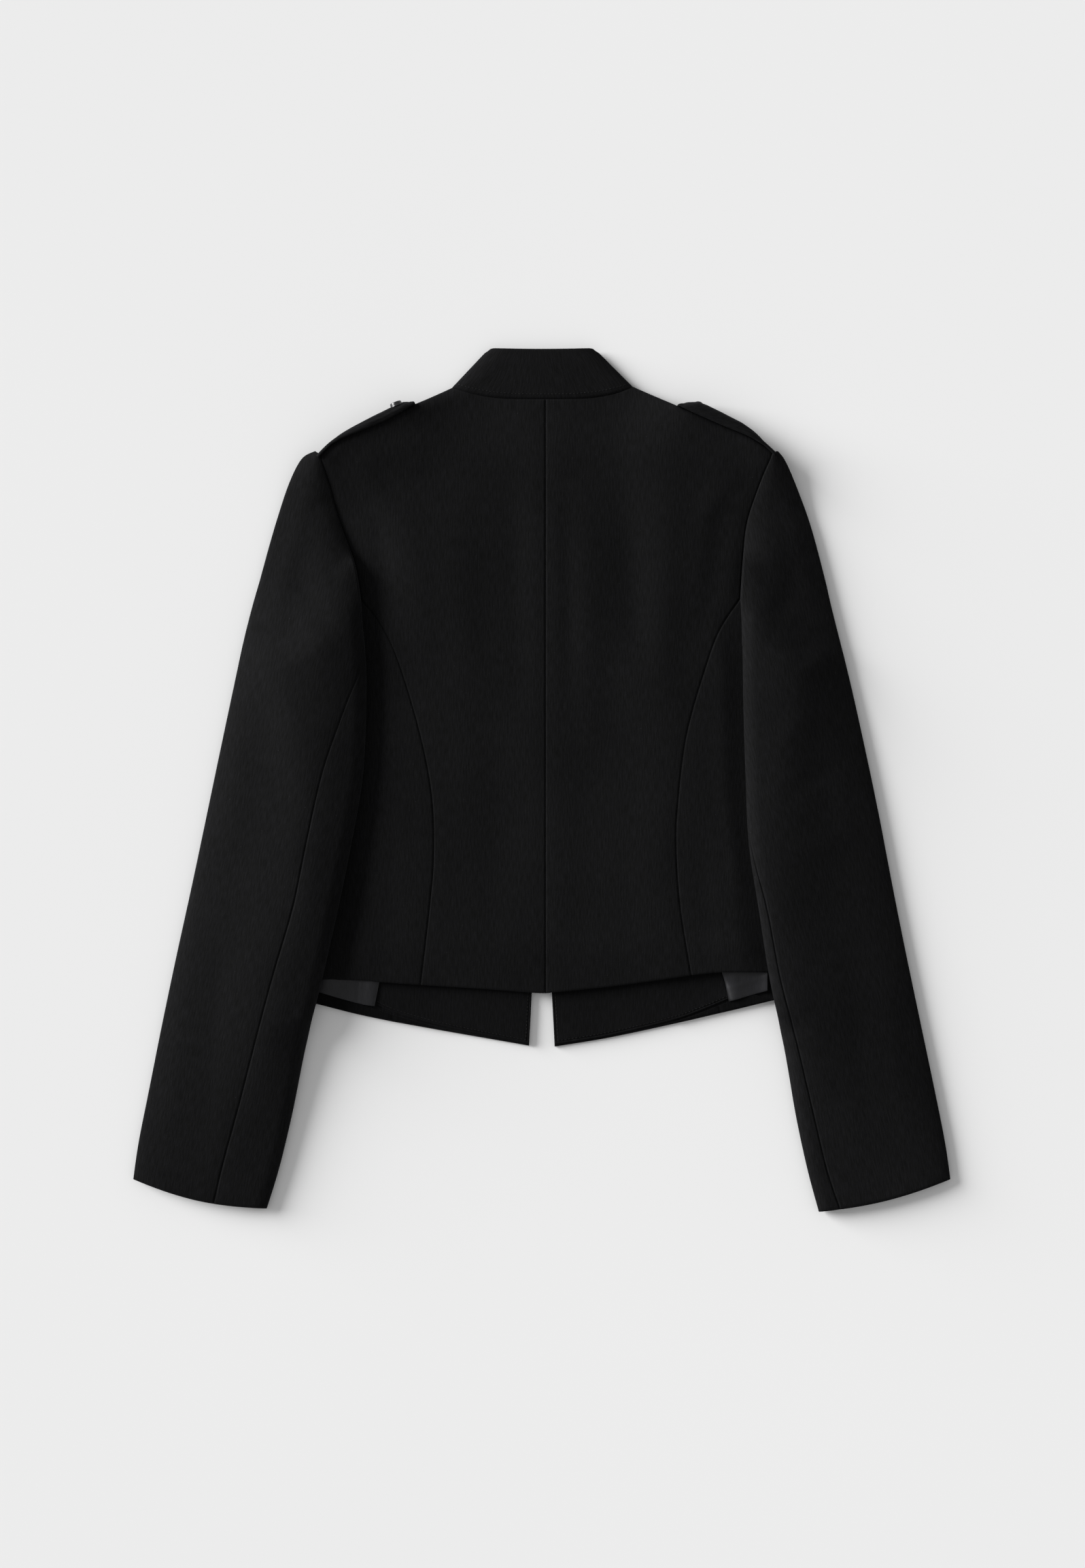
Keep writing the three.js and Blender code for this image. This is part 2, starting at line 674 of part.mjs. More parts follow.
function strapSection(side, share) {
  const row = side.strap.findIndex(([at]) => at >= share);
  const after = side.strap[Math.max(1, row)];
  const before = side.strap[Math.max(1, row) - 1];
  const t = (share - before[0]) / (after[0] - before[0]);
  const shoulderShare = mix(strapRoot, strapTip, share);
  const line = curve(side.shoulder);
  const tangent = line.getTangentAt(shoulderShare);
  const outward = point(tangent.y, -tangent.x).multiplyScalar(-side.sign);
  if (outward.y < 0) outward.negate();
  return {
    seam: line.getPointAt(shoulderShare),
    outward,
    tangent,
    reach: mix(before[1], after[1], t),
    width: mix(before[2], after[2], t),
  };
}

// The strap's section at an arc length from its front edge, with the direction it faces.
function strapPoint(section, arc, depth) {
  const { seam, outward, reach, width } = section;
  const edgeLength = Math.hypot(reach, strapRise);
  const hidden = width - edgeLength;
  let out = arc - hidden;
  let z;
  let slope = shoulderLift / liftReach;
  if (out <= 0) {
    const p = seam.clone().addScaledVector(outward, out);
    z = lift(p.x, p.y) - 2 * seamGap;
  } else {
    const turn = (out / edgeLength) * (Math.PI / 2);
    out = reach * Math.sin(turn);
    z = lift(seam.x, seam.y) - 2 * seamGap + strapRise * (1 - Math.cos(turn));
    slope += (strapRise / reach) * Math.tan(Math.min(turn, 1.4));
  }
  const tilt = Math.atan(slope);
  const p = seam.clone().addScaledVector(outward, out + depth * Math.sin(tilt));
  return new THREE.Vector3(p.x, p.y, z - depth * Math.cos(tilt));
}

function strap(side) {
  const sections = even(9).map((share) => strapSection(side, share));
  const grid = (depth) => sections.map((section) => even(9).map((t) => {
    const arc = section.width * (1 - (1 - t) ** 1.5);
    return strapPoint(section, arc, depth);
  }));
  return wallGeometry(grid(strapWall), grid(0));
}

function buttonShape() {
  const profile = [point(0, 0), point(buttonRadius * 0.9, 0), point(buttonRadius, 1)];
  for (const turn of [0.25, 0.5, 0.75]) {
    const angle = (turn * Math.PI) / 2;
    const rise = 1 + (buttonHeight - 1) * Math.sin(angle);
    profile.push(point(buttonRadius * Math.cos(angle), rise));
  }
  profile.push(point(0, buttonHeight));
  return new THREE.LatheGeometry(profile, 16).rotateX(Math.PI / 2);
}

// The piece's own list, from the layer that rests to the layer on top

const blazer = new THREE.Group();

function add(name, geometry, colour, roughness = 0.9) {
  const material = new THREE.MeshStandardMaterial({ color: colour, roughness, metalness: 0 });
  const mesh = new THREE.Mesh(geometry, material);
  mesh.name = name;
  blazer.add(mesh);
  return mesh;
}

for (const side of sides) {
  add(`front_${side.name}`, frontPanel(side), colours.front);
  add(`side_front_${side.name}`, sideFrontPanel(side), colours.front);
  add(`facing_${side.name}`, facing(side), colours.facing);
  add(`turned_hem_${side.name}`, turnedHem(side), colours.facing);
  add(`lining_${side.name}`, lining(side), colours.lining, 0.4);
  add(`back_${side.name}`, backPanel(side), colours.back);
  add(`side_back_${side.name}`, sideBackPanel(side), colours.back);
  add(`top_sleeve_${side.name}`, topSleeve(side), colours.sleeve);
  add(`under_sleeve_${side.name}`, underSleeve(side), colours.sleeve);
  add(`shoulder_strap_${side.name}`, strap(side), colours.sleeve);

  const section = strapSection(side, buttonShare);
  const arc = section.width - buttonInset;
  const seat = strapPoint(section, arc, strapWall + seamGap);
  const facingOut = seat.clone().sub(strapPoint(section, arc, 0)).normalize();
  const button = add(`strap_button_${side.name}`, buttonShape(), colours.button, 0.35);
  button.position.copy(seat);
  button.quaternion.setFromUnitVectors(new THREE.Vector3(0, 0, 1), facingOut);
}
add('collar', collar(), colours.back);

const box = new THREE.Box3().setFromObject(blazer);
blazer.position.set(-(box.min.x + box.max.x) / 2, -(box.min.y + box.max.y) / 2, -box.min.z);
blazer.updateMatrixWorld(true);

export default blazer;
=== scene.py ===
import bpy
import numpy as np
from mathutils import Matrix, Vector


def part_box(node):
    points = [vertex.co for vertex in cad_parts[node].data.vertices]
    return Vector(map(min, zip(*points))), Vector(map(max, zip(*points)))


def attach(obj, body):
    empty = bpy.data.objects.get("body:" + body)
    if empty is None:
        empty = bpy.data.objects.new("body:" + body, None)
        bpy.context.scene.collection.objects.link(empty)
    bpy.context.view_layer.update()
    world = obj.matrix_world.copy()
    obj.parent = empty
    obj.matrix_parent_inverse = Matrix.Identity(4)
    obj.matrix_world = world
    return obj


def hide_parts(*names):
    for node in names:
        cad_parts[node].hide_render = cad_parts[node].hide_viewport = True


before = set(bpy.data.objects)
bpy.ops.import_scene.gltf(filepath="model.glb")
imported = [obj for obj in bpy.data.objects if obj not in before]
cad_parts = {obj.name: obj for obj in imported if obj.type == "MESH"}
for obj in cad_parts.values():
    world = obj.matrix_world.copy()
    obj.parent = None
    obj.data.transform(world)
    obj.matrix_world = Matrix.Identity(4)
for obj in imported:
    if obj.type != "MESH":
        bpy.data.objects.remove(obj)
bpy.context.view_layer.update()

# The fronts: the layer that rests on the surface. Each is a front and a side front in slubbed
# black suiting, pressed flat, joined by a curved seam from the armhole to the hem. The front
# edges meet at the waist and swing apart below it.

# Plan x and y in millimetres, with +Y towards the collar.
CENTRE_BACK, HEM_LOW = 3.0, -175.3  # the centre seam, and the hem there
BASE_DROP = 355.3  # the collar's top edge, from which the plan is placed

LEFT = {
    "name": "left",
    "sign": -1,
    "shoulder": [[-74, 324], [-104, 310], [-135, 297.5], [-159, 286], [-174, 276.5], [-183, 268.5]],
    "armhole": [[-183, 268.5], [-175.5, 245], [-167, 215], [-154, 178.5], [-149, 149]],
    "underarm": [[-149, 149], [-168, 118], [-195, 98], [-222, 83]],
    "back_seam": [[-149, 149], [-135, 132], [-120, 103], [-102, 45], [-91, -9.5], [-89, -60],
                  [-92.5, -105], [-100, -168.5]],
    "back_hem": [[-100, -168.5], [-52, -171.5], [-9.5, -174.7], [CENTRE_BACK, HEM_LOW]],
    "side_hem": [[-206, -164], [-150, -164.6], [-134, -166], [-100, -168.5]],
    "side": [[-222, 83], [-208, 20], [-196, -50], [-199, -110], [-206, -164], [-207, -180]],
    "front_seam": [[-149, 149], [-128, 100], [-112, 40], [-105, -50], [-113, -120],
                   [-123, -199]],
    "front_hem": [[-123, -199], [-79, -206.9], [-25, -216.3], [-10.6, -218.9]],
    "front_side_hem": [[-207, -181], [-186.5, -185], [-154, -192.8], [-123, -199]],
    "front_edge": [[-0.4, 100], [-0.6, -20], [-4, -90], [-8.4, -177.5], [-10.6, -218.9]],
    "facing_edge": [[-131, -148], [-134, -166], [-138, -186]],
    "turn_up": [[-206, -165], [-182.6, -173], [-151.8, -183.7], [-118.7, -194.3],
                [-79.5, -205.2]],
    "sleeve_head": [[-186.5, 271], [-196, 266.5], [-203, 256.5], [-210.5, 239.5], [-218, 217],
                    [-224.5, 195], [-233, 164]],
    # outer x, outer y, inner x, inner y, share of the width at the back seam
    "arm": [
        [-239.1, 142.8, -147.3, 124.9, 1],
        [-246.4, 113.7, -144.5, 94.1, 0.96],
        [-254.2, 77.3, -144.5, 54.9, 0.84],
        [-264.9, 26.9, -147.3, 2.8, 0.73],
        [-276.6, -29.1, -156.8, -53.2, 0.706],
        [-288.4, -85.1, -168.6, -110.3, 0.706],
        [-300.7, -141.1, -181.4, -166.9, 0.676],
        [-312.5, -197.1, -194.3, -217.8, 0.66],
        [-323.7, -253.1, -205.5, -273.3, 0.63],
        [-332.6, -297.9, -216.2, -318.1, 0.61],
        [-337.1, -328.7, -226.8, -352.8, 0.614],
    ],
}
RIGHT = {
    "name": "right",
    "sign": 1,
    "shoulder": [[75, 325], [110, 309], [146, 293], [169, 283.4], [180.5, 276.5], [190, 270]],
    "armhole": [[190, 270], [179, 243], [169, 212], [165.5, 180], [163.5, 150]],
    "underarm": [[163.5, 150], [178, 118], [198, 98], [224, 83]],
    "back_seam": [[163.5, 150], [148.5, 128], [138, 103], [119.5, 40], [112, -18], [110.5, -55],
                  [114, -105], [123, -160.5]],
    "back_hem": [[123, -160.5], [95, -164.6], [53, -170.2], [CENTRE_BACK, HEM_LOW]],
    "side_hem": [[206, -158], [182, -158], [148, -158], [123, -160.5]],
    "side": [[224, 83], [210, 20], [198, -50], [201, -110], [206, -158], [207, -178]],
    "front_seam": [[163.5, 150], [142, 100], [127, 40], [122, -50], [133, -120], [147.5, -191.9]],
    "front_hem": [[147.5, -191.9], [109, -200.8], [55, -212.3], [10.6, -219.6]],
    "front_side_hem": [[207, -178.9], [190, -182.3], [163, -188.5], [147.5, -191.9]],
    "front_edge": [[0.4, 100], [0.6, -20], [4, -90], [8.4, -177.5], [10.6, -219.6]],
    "facing_edge": [[144, -148], [148.4, -158], [155.5, -181.5]],
    "turn_up": [[206, -166], [172.5, -175.3], [156.8, -181.5], [130, -192], [108, -199.6]],
    "sleeve_head": [[194.2, 271], [199, 265.4], [203.8, 256.5], [211, 239.7], [219.5, 217.3],
                    [226.2, 194.9], [234.6, 162.4]],
    "arm": [
        [239.1, 142.8, 164.6, 130.5, 1],
        [246.4, 113.7, 165.2, 96.9, 1],
        [255.4, 77.3, 165.8, 57.7, 1],
        [266.6, 26.9, 167.4, 6.2, 1],
        [278.3, -29.1, 170.2, -51.5, 0.985],
        [289, -85.1, 178.6, -107.5, 0.94],
        [300.2, -141.1, 187.6, -164.6, 0.925],
        [311.9, -197.1, 199.9, -220.6, 0.905],
        [323.7, -253.1, 209.4, -275.5, 0.877],
        [332.6, -297.9, 219, -320.3, 0.867],
        [337.1, -328.7, 228.5, -355.6, 0.845],
    ],
}
SIDES = (LEFT, RIGHT)

WALL = 2.6
FOLD_RADIUS = 10.0
UNDERSIDE_RADIUS = 7.0
SEAM_CLEARANCE = 0.02  # half the space left between two sewn edges
SEAM_HALF = 0.15  # the same in the solids
SHOULDER_LIFT = 10.0
LIFT_REACH = 60.0
LIFT_BEGINS = 0.42  # share of the shoulder seam, from the neck, over which the lift grows
# The air between the body's layers, the soft bands across it, and what it comes to at the hem, from
# a plan y over a stretch.
LAY_SPACE, BAND_RISE, BAND_SPACING = 3.1, 0.55, 92.0
HEM_SPACE, HEM_SPACE_FROM, HEM_SPACE_OVER = 3.8, -110.0, 40.0
FRONT_NECK_DROP, FRONT_GAP = 62.0, 0.4  # from the neck's folds; half the gap between the fronts


def cubic(rows, t):
    """Rows between a table's rows, at t counted in rows: a cubic whose slope at each row follows the
    rows on both sides of it."""
    rows = np.asarray(rows, float)
    last = len(rows) - 1
    k = np.minimum(t.astype(int), last - 1)
    w = (t - k)[:, None]
    p0, p1 = rows[np.maximum(k - 1, 0)], rows[k]
    p2, p3 = rows[k + 1], rows[np.minimum(k + 2, last)]
    v0, v1 = (p2 - p0) / 2, (p3 - p1) / 2
    return (2 * p1 - 2 * p2 + v0 + v1) * w**3 + (3 * p2 - 3 * p1 - 2 * v0 - v1) * w**2 + v0 * w + p1


def travelled(line):
    """The length along a line up to each of its points."""
    return np.concatenate([[0], np.cumsum(np.linalg.norm(np.diff(line, axis=0), axis=-1))])


def spline(rows, shares):
    """Points at shares of the length of a smooth curve through the rows."""
    line = cubic(rows, np.linspace(0, len(rows) - 1, 120 * (len(rows) - 1) + 1))
    lengths = travelled(line)
    at = np.clip(shares, 0, 1) * lengths[-1]
    return np.stack([np.interp(at, lengths, line[:, 0]), np.interp(at, lengths, line[:, 1])], -1)


def way(line):
    """The share of a line's length up to each of its points."""
    return travelled(line) / travelled(line)[-1]


def even(count):
    """Shares from 0 to 1 in even steps."""
    return np.linspace(0, 1, count + 1)


def nearest(line, xy):
    """Distance from each point to the nearest stretch of a line, and the share of it there."""
    start, run = line[:-1], np.diff(line, axis=0)
    off = xy[..., None, :] - start
    t = np.clip((off * run).sum(-1) / (run**2).sum(-1), 0, 1)
    gap = np.linalg.norm(off - run * t[..., None], axis=-1)
    k = gap.argmin(-1)
    pick = np.take_along_axis
    at = (k + pick(t, k[..., None], -1)[..., 0]) / len(run)
    return pick(gap, k[..., None], -1)[..., 0], at


def looked_up(rows, at, column=1):
    """A table's column at places between its rows, by its first column."""
    rows = np.array(rows, float)
    return np.interp(at, rows[:, 0], rows[:, column])


def smooth(t):
    """An S curve from 0 to 1: three times the square less twice the cube."""
    t = np.clip(t, 0, 1)
    return t * t * (3 - 2 * t)


def bell(distance, half):
    """A smooth hump: 1 at no distance, about a third at the half width, nothing far off."""
    return np.exp(-((distance / half) ** 2))


def rounding(distance, reach):
    """Quarter-round rise from 0 at an edge to 1 at the given reach."""
    t = np.clip(1 - distance / reach, 0, 1)
    return np.sqrt(1 - t * t)


for side in SIDES:
    for key, steps in (("shoulder", 24), ("side", 24), ("armhole", 30), ("front_seam", 40),
                       ("back_seam", 60)):
        side[f"{key}_line"] = spline(side[key], even(steps))
FOLD_LINES = [side[key] for side in SIDES for key in ("shoulder_line", "side_line")]


def fold_distance(xy):
    """Distance to the nearest shoulder or side, where the body's layers fold."""
    return np.min([nearest(line, xy)[0] for line in FOLD_LINES], axis=0)


def lift(xy):
    """Height of the underside: it curves up to each shoulder seam, from nothing at the neck to its
    full height along the strap."""
    rises = []
    for side in SIDES:
        distance, share = nearest(side["shoulder_line"], xy)
        ramp = np.clip(1 - distance / LIFT_REACH, 0, 1)
        rises.append(SHOULDER_LIFT * smooth(share / LIFT_BEGINS) * ramp**1.5)
    return np.where(xy[..., 0] < CENTRE_BACK, rises[0], rises[1])


def body_height(xy):
    """Two walls and the space between them, which rises and falls in soft bands across."""
    x, y = xy[..., 0], xy[..., 1]
    bands = LAY_SPACE + BAND_RISE * np.cos(2 * np.pi * (x - CENTRE_BACK) / BAND_SPACING)
    at_hem = smooth((HEM_SPACE_FROM - y) / HEM_SPACE_OVER)
    return 2 * WALL + bands + (HEM_SPACE - bands) * at_hem


def spread(top, bottom, start, end):
    """A panel's plan between its four boundaries: each point is the blend of the two points
    across it and the two along it, less the blend of the four corners."""
    u = ((way(top) + way(bottom)) / 2)[:, None, None]
    v = ((way(start) + way(end)) / 2)[None, :, None]
    plan = (1 - v) * top[:, None] + v * bottom[:, None] + (1 - u) * start[None] + u * end[None]
    plan -= (1 - u) * (1 - v) * top[0] + u * (1 - v) * top[-1]
    plan -= (1 - u) * v * bottom[0] + u * v * bottom[-1]
    return plan


def edge_lines(plan, edge):
    """The grid turned so that its first row is the named edge and later rows lead inwards."""
    if edge == "start":
        return plan
    if edge == "end":
        return plan[::-1]
    turned = np.swapaxes(plan, 0, 1)
    return turned if edge == "top" else turned[::-1]


def unit(v):
    """Directions: each vector over its length."""
    return v / np.maximum(np.linalg.norm(v, axis=-1, keepdims=True), 1e-9)


def sewn(plan, kinds, folded=None):
    """The plan with its seam edges drawn in by half of the space left in a seam."""
    plan = plan.copy()
    for edge, kind in kinds.items():
        lines = edge_lines(plan, edge)
        step = unit(lines[1] - lines[0]) * SEAM_CLEARANCE
        if kind == "fold" and folded is not None:
            step[:folded] = 0
        elif kind != "seam":
            continue
        lines[0] += step
    return plan


def drawn_in(plan, kinds, amount, folded=None):
    """The plan of a wall's inner points, drawn in by the wall's thickness where it folds."""
    shift = np.zeros_like(plan)
    for edge, kind in kinds.items():
        if kind != "fold":
            continue
        lines, shifts = edge_lines(plan, edge), edge_lines(shift, edge)
        inward = unit(lines[1] - lines[0])
        reach = np.clip(1 - np.linalg.norm(lines - lines[0], axis=-1) / FOLD_RADIUS, 0, 1)
        if folded is not None:
            reach[:, folded + 1:] = 0
        shifts += amount * inward * reach[..., None]
    return plan + shift


def stack(xy, z):
    """Plan points with a height for each."""
    return np.concatenate([xy, np.broadcast_to(z, xy.shape[:-1])[..., None]], -1)


# The plan's place in the frame, from the centre seam and the collar's top edge.
PLACE = np.array([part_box("back_left")[1][0] * 1000 - CENTRE_BACK + SEAM_HALF,
                  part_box("collar")[1][1] * 1000 - BASE_DROP, 0.0])


def mesh_of(name, points, faces, material):
    """A mesh object from an array of points in the plan's millimetres and a list of faces."""
    mesh = bpy.data.meshes.new(name)
    mesh.from_pydata(((points + PLACE) / 1000).tolist(), [], faces)
    mesh.validate()
    mesh.shade_smooth()
    mesh.materials.append(material)
    piece = bpy.data.objects.new(name, mesh)
    bpy.context.collection.objects.link(piece)
    return piece


def outwards(points, faces):
    """Quads turned so that they face out of the solid that they close, by the sign of its volume."""
    a, b, c, d = (points[faces[:, k]] for k in range(4))
    signed = np.einsum("ij,ij->i", a, np.cross(b, c) + np.cross(c, d)).sum()
    return (faces[:, ::-1] if signed < 0 else faces).tolist()


def wall_piece(name, outer, inner, material, grain=None):
    """A closed wall: a grid of outer points, a grid of inner points, and a rim that joins them all
    round. The grain is a pair of coordinates in metres for each outer point, kept for the weave."""
    rows, columns = outer.shape[:2]
    ids = np.arange(rows * columns).reshape(rows, columns)
    over = np.stack([ids[:-1, :-1], ids[1:, :-1], ids[1:, 1:], ids[:-1, 1:]], -1).reshape(-1, 4)
    rim = np.concatenate([ids[0, :-1], ids[:-1, -1], ids[-1, :0:-1], ids[:0:-1, 0]])
    after = np.roll(rim, -1)
    count = rows * columns
    sides = np.stack([rim, after, after + count, rim + count], -1)
    faces = np.concatenate([over, over[:, ::-1] + count, sides])
    points = np.concatenate([outer.reshape(-1, 3), inner.reshape(-1, 3)])
    piece = mesh_of(name, points, outwards(points, faces), material)
    if grain is None:
        grain = outer[..., :2] / 1000
    grain = np.concatenate([grain.reshape(-1, 2)] * 2)
    layer = piece.data.attributes.new("grain", "FLOAT_VECTOR", "POINT")
    layer.data.foreach_set("vector", stack(grain, 0.0).ravel())
    piece.data.set_sharp_from_angle(angle=np.radians(50))  # crisp cut edges
    return piece


def hex_colour(text):
    """An sRGB hex colour as linear red, green, blue and full alpha."""
    srgb = np.array([int(text[k:k + 2], 16) for k in (1, 3, 5)]) / 255
    linear = np.where(srgb <= 0.04045, srgb / 12.92, ((srgb + 0.055) / 1.055) ** 2.4)
    return (*linear.tolist(), 1.0)


def add_node(tree, kind, settings=None, links=None, values=None):
    """Adds a node with its settings, its socket values and its links from other nodes' outputs."""
    node = tree.nodes.new(kind)
    for key, value in (settings or {}).items():
        setattr(node, key, value)
    for key, value in (values or {}).items():
        node.inputs[key].default_value = value
    for key, output in (links or {}).items():
        tree.links.new(output, node.inputs[key])
    return node


def surface(name, values):
    """A new material, its node tree and its shader, which is given the values."""
    material = bpy.data.materials.new(name)
    material.use_nodes = True
    shader = material.node_tree.nodes["Principled BSDF"]
    for key, value in values.items():
        shader.inputs[key].default_value = value
    return material, material.node_tree, shader


def suiting(name, colour, slub):
    """Crepe suiting: matt black wool-like cloth, woven with uneven slubbed yarns along the grain.
    The eye sees fine broken streaks, a soft lustre at a slant and hardly any gloss."""
    material, tree, shader = surface(name, {
        "Roughness": 0.75, "Specular IOR Level": 0.02, "Sheen Weight": 0.04,
        "Sheen Roughness": 0.45, "Sheen Tint": hex_colour("#c9c9cf")})
    grain = add_node(tree, "ShaderNodeAttribute", {"attribute_name": "grain"}).outputs["Vector"]
    # Slubs are about 1.2 mm across the grain and 4 to 14 mm along it. Crepe yarns cross at about
    # 0.8 mm, drawn as wide as the picture can show. Pressing leaves broad patches of 40 to 90 mm.
    patterns = []
    for scale, detail, roughness in (((880.0, 105.0, 1.0), 3.0, 0.62), ((900.0, 700.0, 1.0), 2.0, 0.5),
                                     ((17.0, 9.0, 1.0), 2.0, 0.5)):
        drawn = add_node(tree, "ShaderNodeMapping", links={"Vector": grain}, values={"Scale": scale})
        pattern = add_node(tree, "ShaderNodeTexNoise", links={"Vector": drawn.outputs["Vector"]},
                           values={"Scale": 1.0, "Detail": detail, "Roughness": roughness})
        patterns.append(pattern.outputs["Fac"])
    slubs, crepe, patches = patterns
    streak = add_node(tree, "ShaderNodeValToRGB", links={"Fac": slubs})
    dark, light = streak.color_ramp.elements
    dark.position, light.position = 0.36, 0.68
    dark.color, light.color = hex_colour(colour), hex_colour(slub)
    tint = add_node(tree, "ShaderNodeMapRange", links={"Value": patches},
                    values={"From Min": 0.3, "From Max": 0.7, "To Min": 0.88, "To Max": 1.12})
    # Neps: a few pale fibre ends, under a millimetre.
    fibres = add_node(tree, "ShaderNodeTexNoise", links={"Vector": grain},
                      values={"Scale": 620.0, "Detail": 1.0}).outputs["Fac"]
    nep = add_node(tree, "ShaderNodeMapRange", links={"Value": fibres},
                   values={"From Min": 0.76, "From Max": 0.82, "To Min": 1.0, "To Max": 2.6})
    lit = add_node(tree, "ShaderNodeMath", {"operation": "MULTIPLY"},
                   {0: tint.outputs["Result"], 1: nep.outputs["Result"]}).outputs["Value"]
    shade = add_node(tree, "ShaderNodeVectorMath", {"operation": "SCALE"},
                     {"Vector": streak.outputs["Color"], "Scale": lit})
    tree.links.new(shade.outputs["Vector"], shader.inputs["Base Color"])
    relief = add_node(tree, "ShaderNodeMath", {"operation": "MULTIPLY_ADD"},
                      {0: crepe, 2: slubs}, {1: 0.5}).outputs["Value"]
    bump = add_node(tree, "ShaderNodeBump", links={"Height": relief},
                    values={"Strength": 0.45, "Distance": 0.0004})
    tree.links.new(bump.outputs["Normal"], shader.inputs["Normal"])
    return material


SUITING = suiting("black_crepe_suiting", "#0f0f0f", "#161617")


SEAM_NICK, NICK_HALF, SEAM_TROUGH, TROUGH_HALF = 0.8, 0.65, 0.34, 6.0
ARMHOLE_SINK, ARMHOLE_SINK_HALF = 0.5, 4.5


def dip(away):
    """How far a pressed seam lets the cloth down at a distance from it: a sharp nick at the
    stitches, in a shallow trough as wide as the turnings beneath."""
    return SEAM_NICK * bell(away, NICK_HALF) + SEAM_TROUGH * bell(away, TROUGH_HALF)


def armhole_dip(away):
    """How far the body sinks towards an armhole, where the sleeve's turnings pull it down."""
    return ARMHOLE_SINK * bell(away, ARMHOLE_SINK_HALF)


def seam_dip(xy, lines):
    """The deepest dip that the seams give at each point."""
    return np.max([dip(nearest(line, xy)[0]) for line in lines], axis=0, initial=0)


def creases(xy, rows):
    """Soft troughs and ridges, listed one by one. Each row is the two ends of a crease, its half width
    and its height, which is negative for a trough; it fades out towards both ends."""
    total = np.zeros(xy.shape[:-1])
    for x0, y0, x1, y1, half, height in rows:
        a, run = np.array([x0, y0]), np.array([x1 - x0, y1 - y0])
        t = ((xy - a) @ run) / (run @ run)
        away = np.linalg.norm(xy - a - np.clip(t, 0, 1)[..., None] * run, axis=-1)
        ends = np.sin(np.pi * np.clip(t, 0.02, 0.98)) ** 0.7
        total += height * ends * bell(away, half)
    return total


def both_ends(count, crowd=0.96):
    """Shares that crowd towards both ends, where the surface turns fastest."""
    t = even(count)
    return crowd * (1 - np.cos(np.pi * t)) / 2 + (1 - crowd) * t


# Between the sleeves the body swells with the air in it, from a hem and a neck line over a stretch,
# and from the shoulders over another. From each sleeve's inner edge it rises over a width that
# changes down the side: plan y and width.
BODY_LOFT, LOFT_HEM, LOFT_NECK, LOFT_OVER, LOFT_SHOULDER = 3.4, -178.0, 312.0, 50.0, 30.0
LOFT_WIDTH = {
    "left": [[-180, 42], [-110, 38], [-20, 24], [100, 24], [160, 36], [270, 42]],
    "right": [[-180, 24], [-110, 24], [-70, 17], [0, 20], [90, 20], [150, 36], [270, 44]],
}


def loft(xy):
    """How far the body swells: nothing at the sleeves, the shoulders, the neck and the hem, rising
    from each along a half wave."""
    x, y = xy[..., 0], xy[..., 1]
    swell = BODY_LOFT * smooth((y - LOFT_HEM) / LOFT_OVER) * smooth((LOFT_NECK - y) / LOFT_OVER)
    for side in SIDES:
        edge = np.array([row[2:4] for row in side["arm"]][::-1] + side["armhole"][::-1], float)
        inward = side["sign"] * (np.interp(y, edge[:, 1], edge[:, 0]) - x)
        swell = swell * smooth(inward / looked_up(LOFT_WIDTH[side["name"]], y))
        swell = swell * smooth(nearest(side["shoulder_line"], xy)[0] / LOFT_SHOULDER)
    return swell


def body_panel(name, upper, top, bottom, start, end, kinds, folded=None, seams=(), folds=(),
               armhole=None):
    """A panel of the body. Its plan is spread between four boundaries; its outer points stand half
    of the body's height from the middle, by a quarter round where the layer folds over, and both
    surfaces draw together in a small round at the hem."""
    plan = spread(top, bottom, start, end)
    outer_plan = sewn(plan, kinds, folded)
    inner_plan = drawn_in(outer_plan, kinds, WALL, folded)
    sign, reach = (1, FOLD_RADIUS) if upper else (-1, UNDERSIDE_RADIUS)
    hem = spline(bottom, even(60)) if len(bottom) < 20 else bottom[::3]

    def level(xy, inset):
        full = body_height(xy)
        turn = rounding(np.maximum(0, fold_distance(xy) - inset), reach - inset)
        rise = SEAM_CLEARANCE + (full / 2 - SEAM_CLEARANCE - inset) * turn
        tuck = HEM_ROUND * (1 - rounding(nearest(hem, xy)[0], HEM_REACH))
        rise = rise + (tuck if inset else -tuck)
        rise = rise - (0 if inset else seam_dip(xy, seams)) * turn
        rise = rise - (0 if armhole is None else armhole_dip(nearest(armhole, xy)[0])) * turn
        rise = rise + (np.maximum(creases(xy, folds), DEEPEST) + (loft(xy) if upper else 0)) * turn
        return stack(xy, lift(xy) + full / 2 + sign * rise)

    return wall_piece(name, level(outer_plan, 0.0), level(inner_plan, WALL), SUITING)


# How far a hem's surfaces draw together, from how far in, and the same for the folded edges of the
# collar and the cuffs.
HEM_ROUND, HEM_REACH, FOLD_REACH = 1.1, 1.76, 1.87
DEEPEST = -2.7  # a trough stops short of the layer beneath
ROWS_ARMHOLE, ROWS_SEAM, COLUMNS_SHOULDER, COLUMNS_NECK = 44, 90, 34, 28
SIDE_FRONT_COLUMNS, SIDE_BACK_COLUMNS = 44, 48
ARMHOLE_SHARES = even(ROWS_ARMHOLE) ** 1.6
SEAM_SHARES = 1 - (1 - even(ROWS_SEAM)) ** 1.45
SHOULDER_SHARES = even(COLUMNS_SHOULDER) ** 1.9
NECK_SHARES = 1 - (1 - even(COLUMNS_NECK)) ** 1.9


def front_neck(side, fold, drop, shares):
    """A quarter ellipse that drops from a neck fold to the centre front."""
    reach = abs(fold[0]) - FRONT_GAP
    turn = shares * np.pi / 2
    x = side["sign"] * (FRONT_GAP + reach * np.cos(turn))
    return np.stack([x, fold[1] - drop * np.sin(turn)], -1)


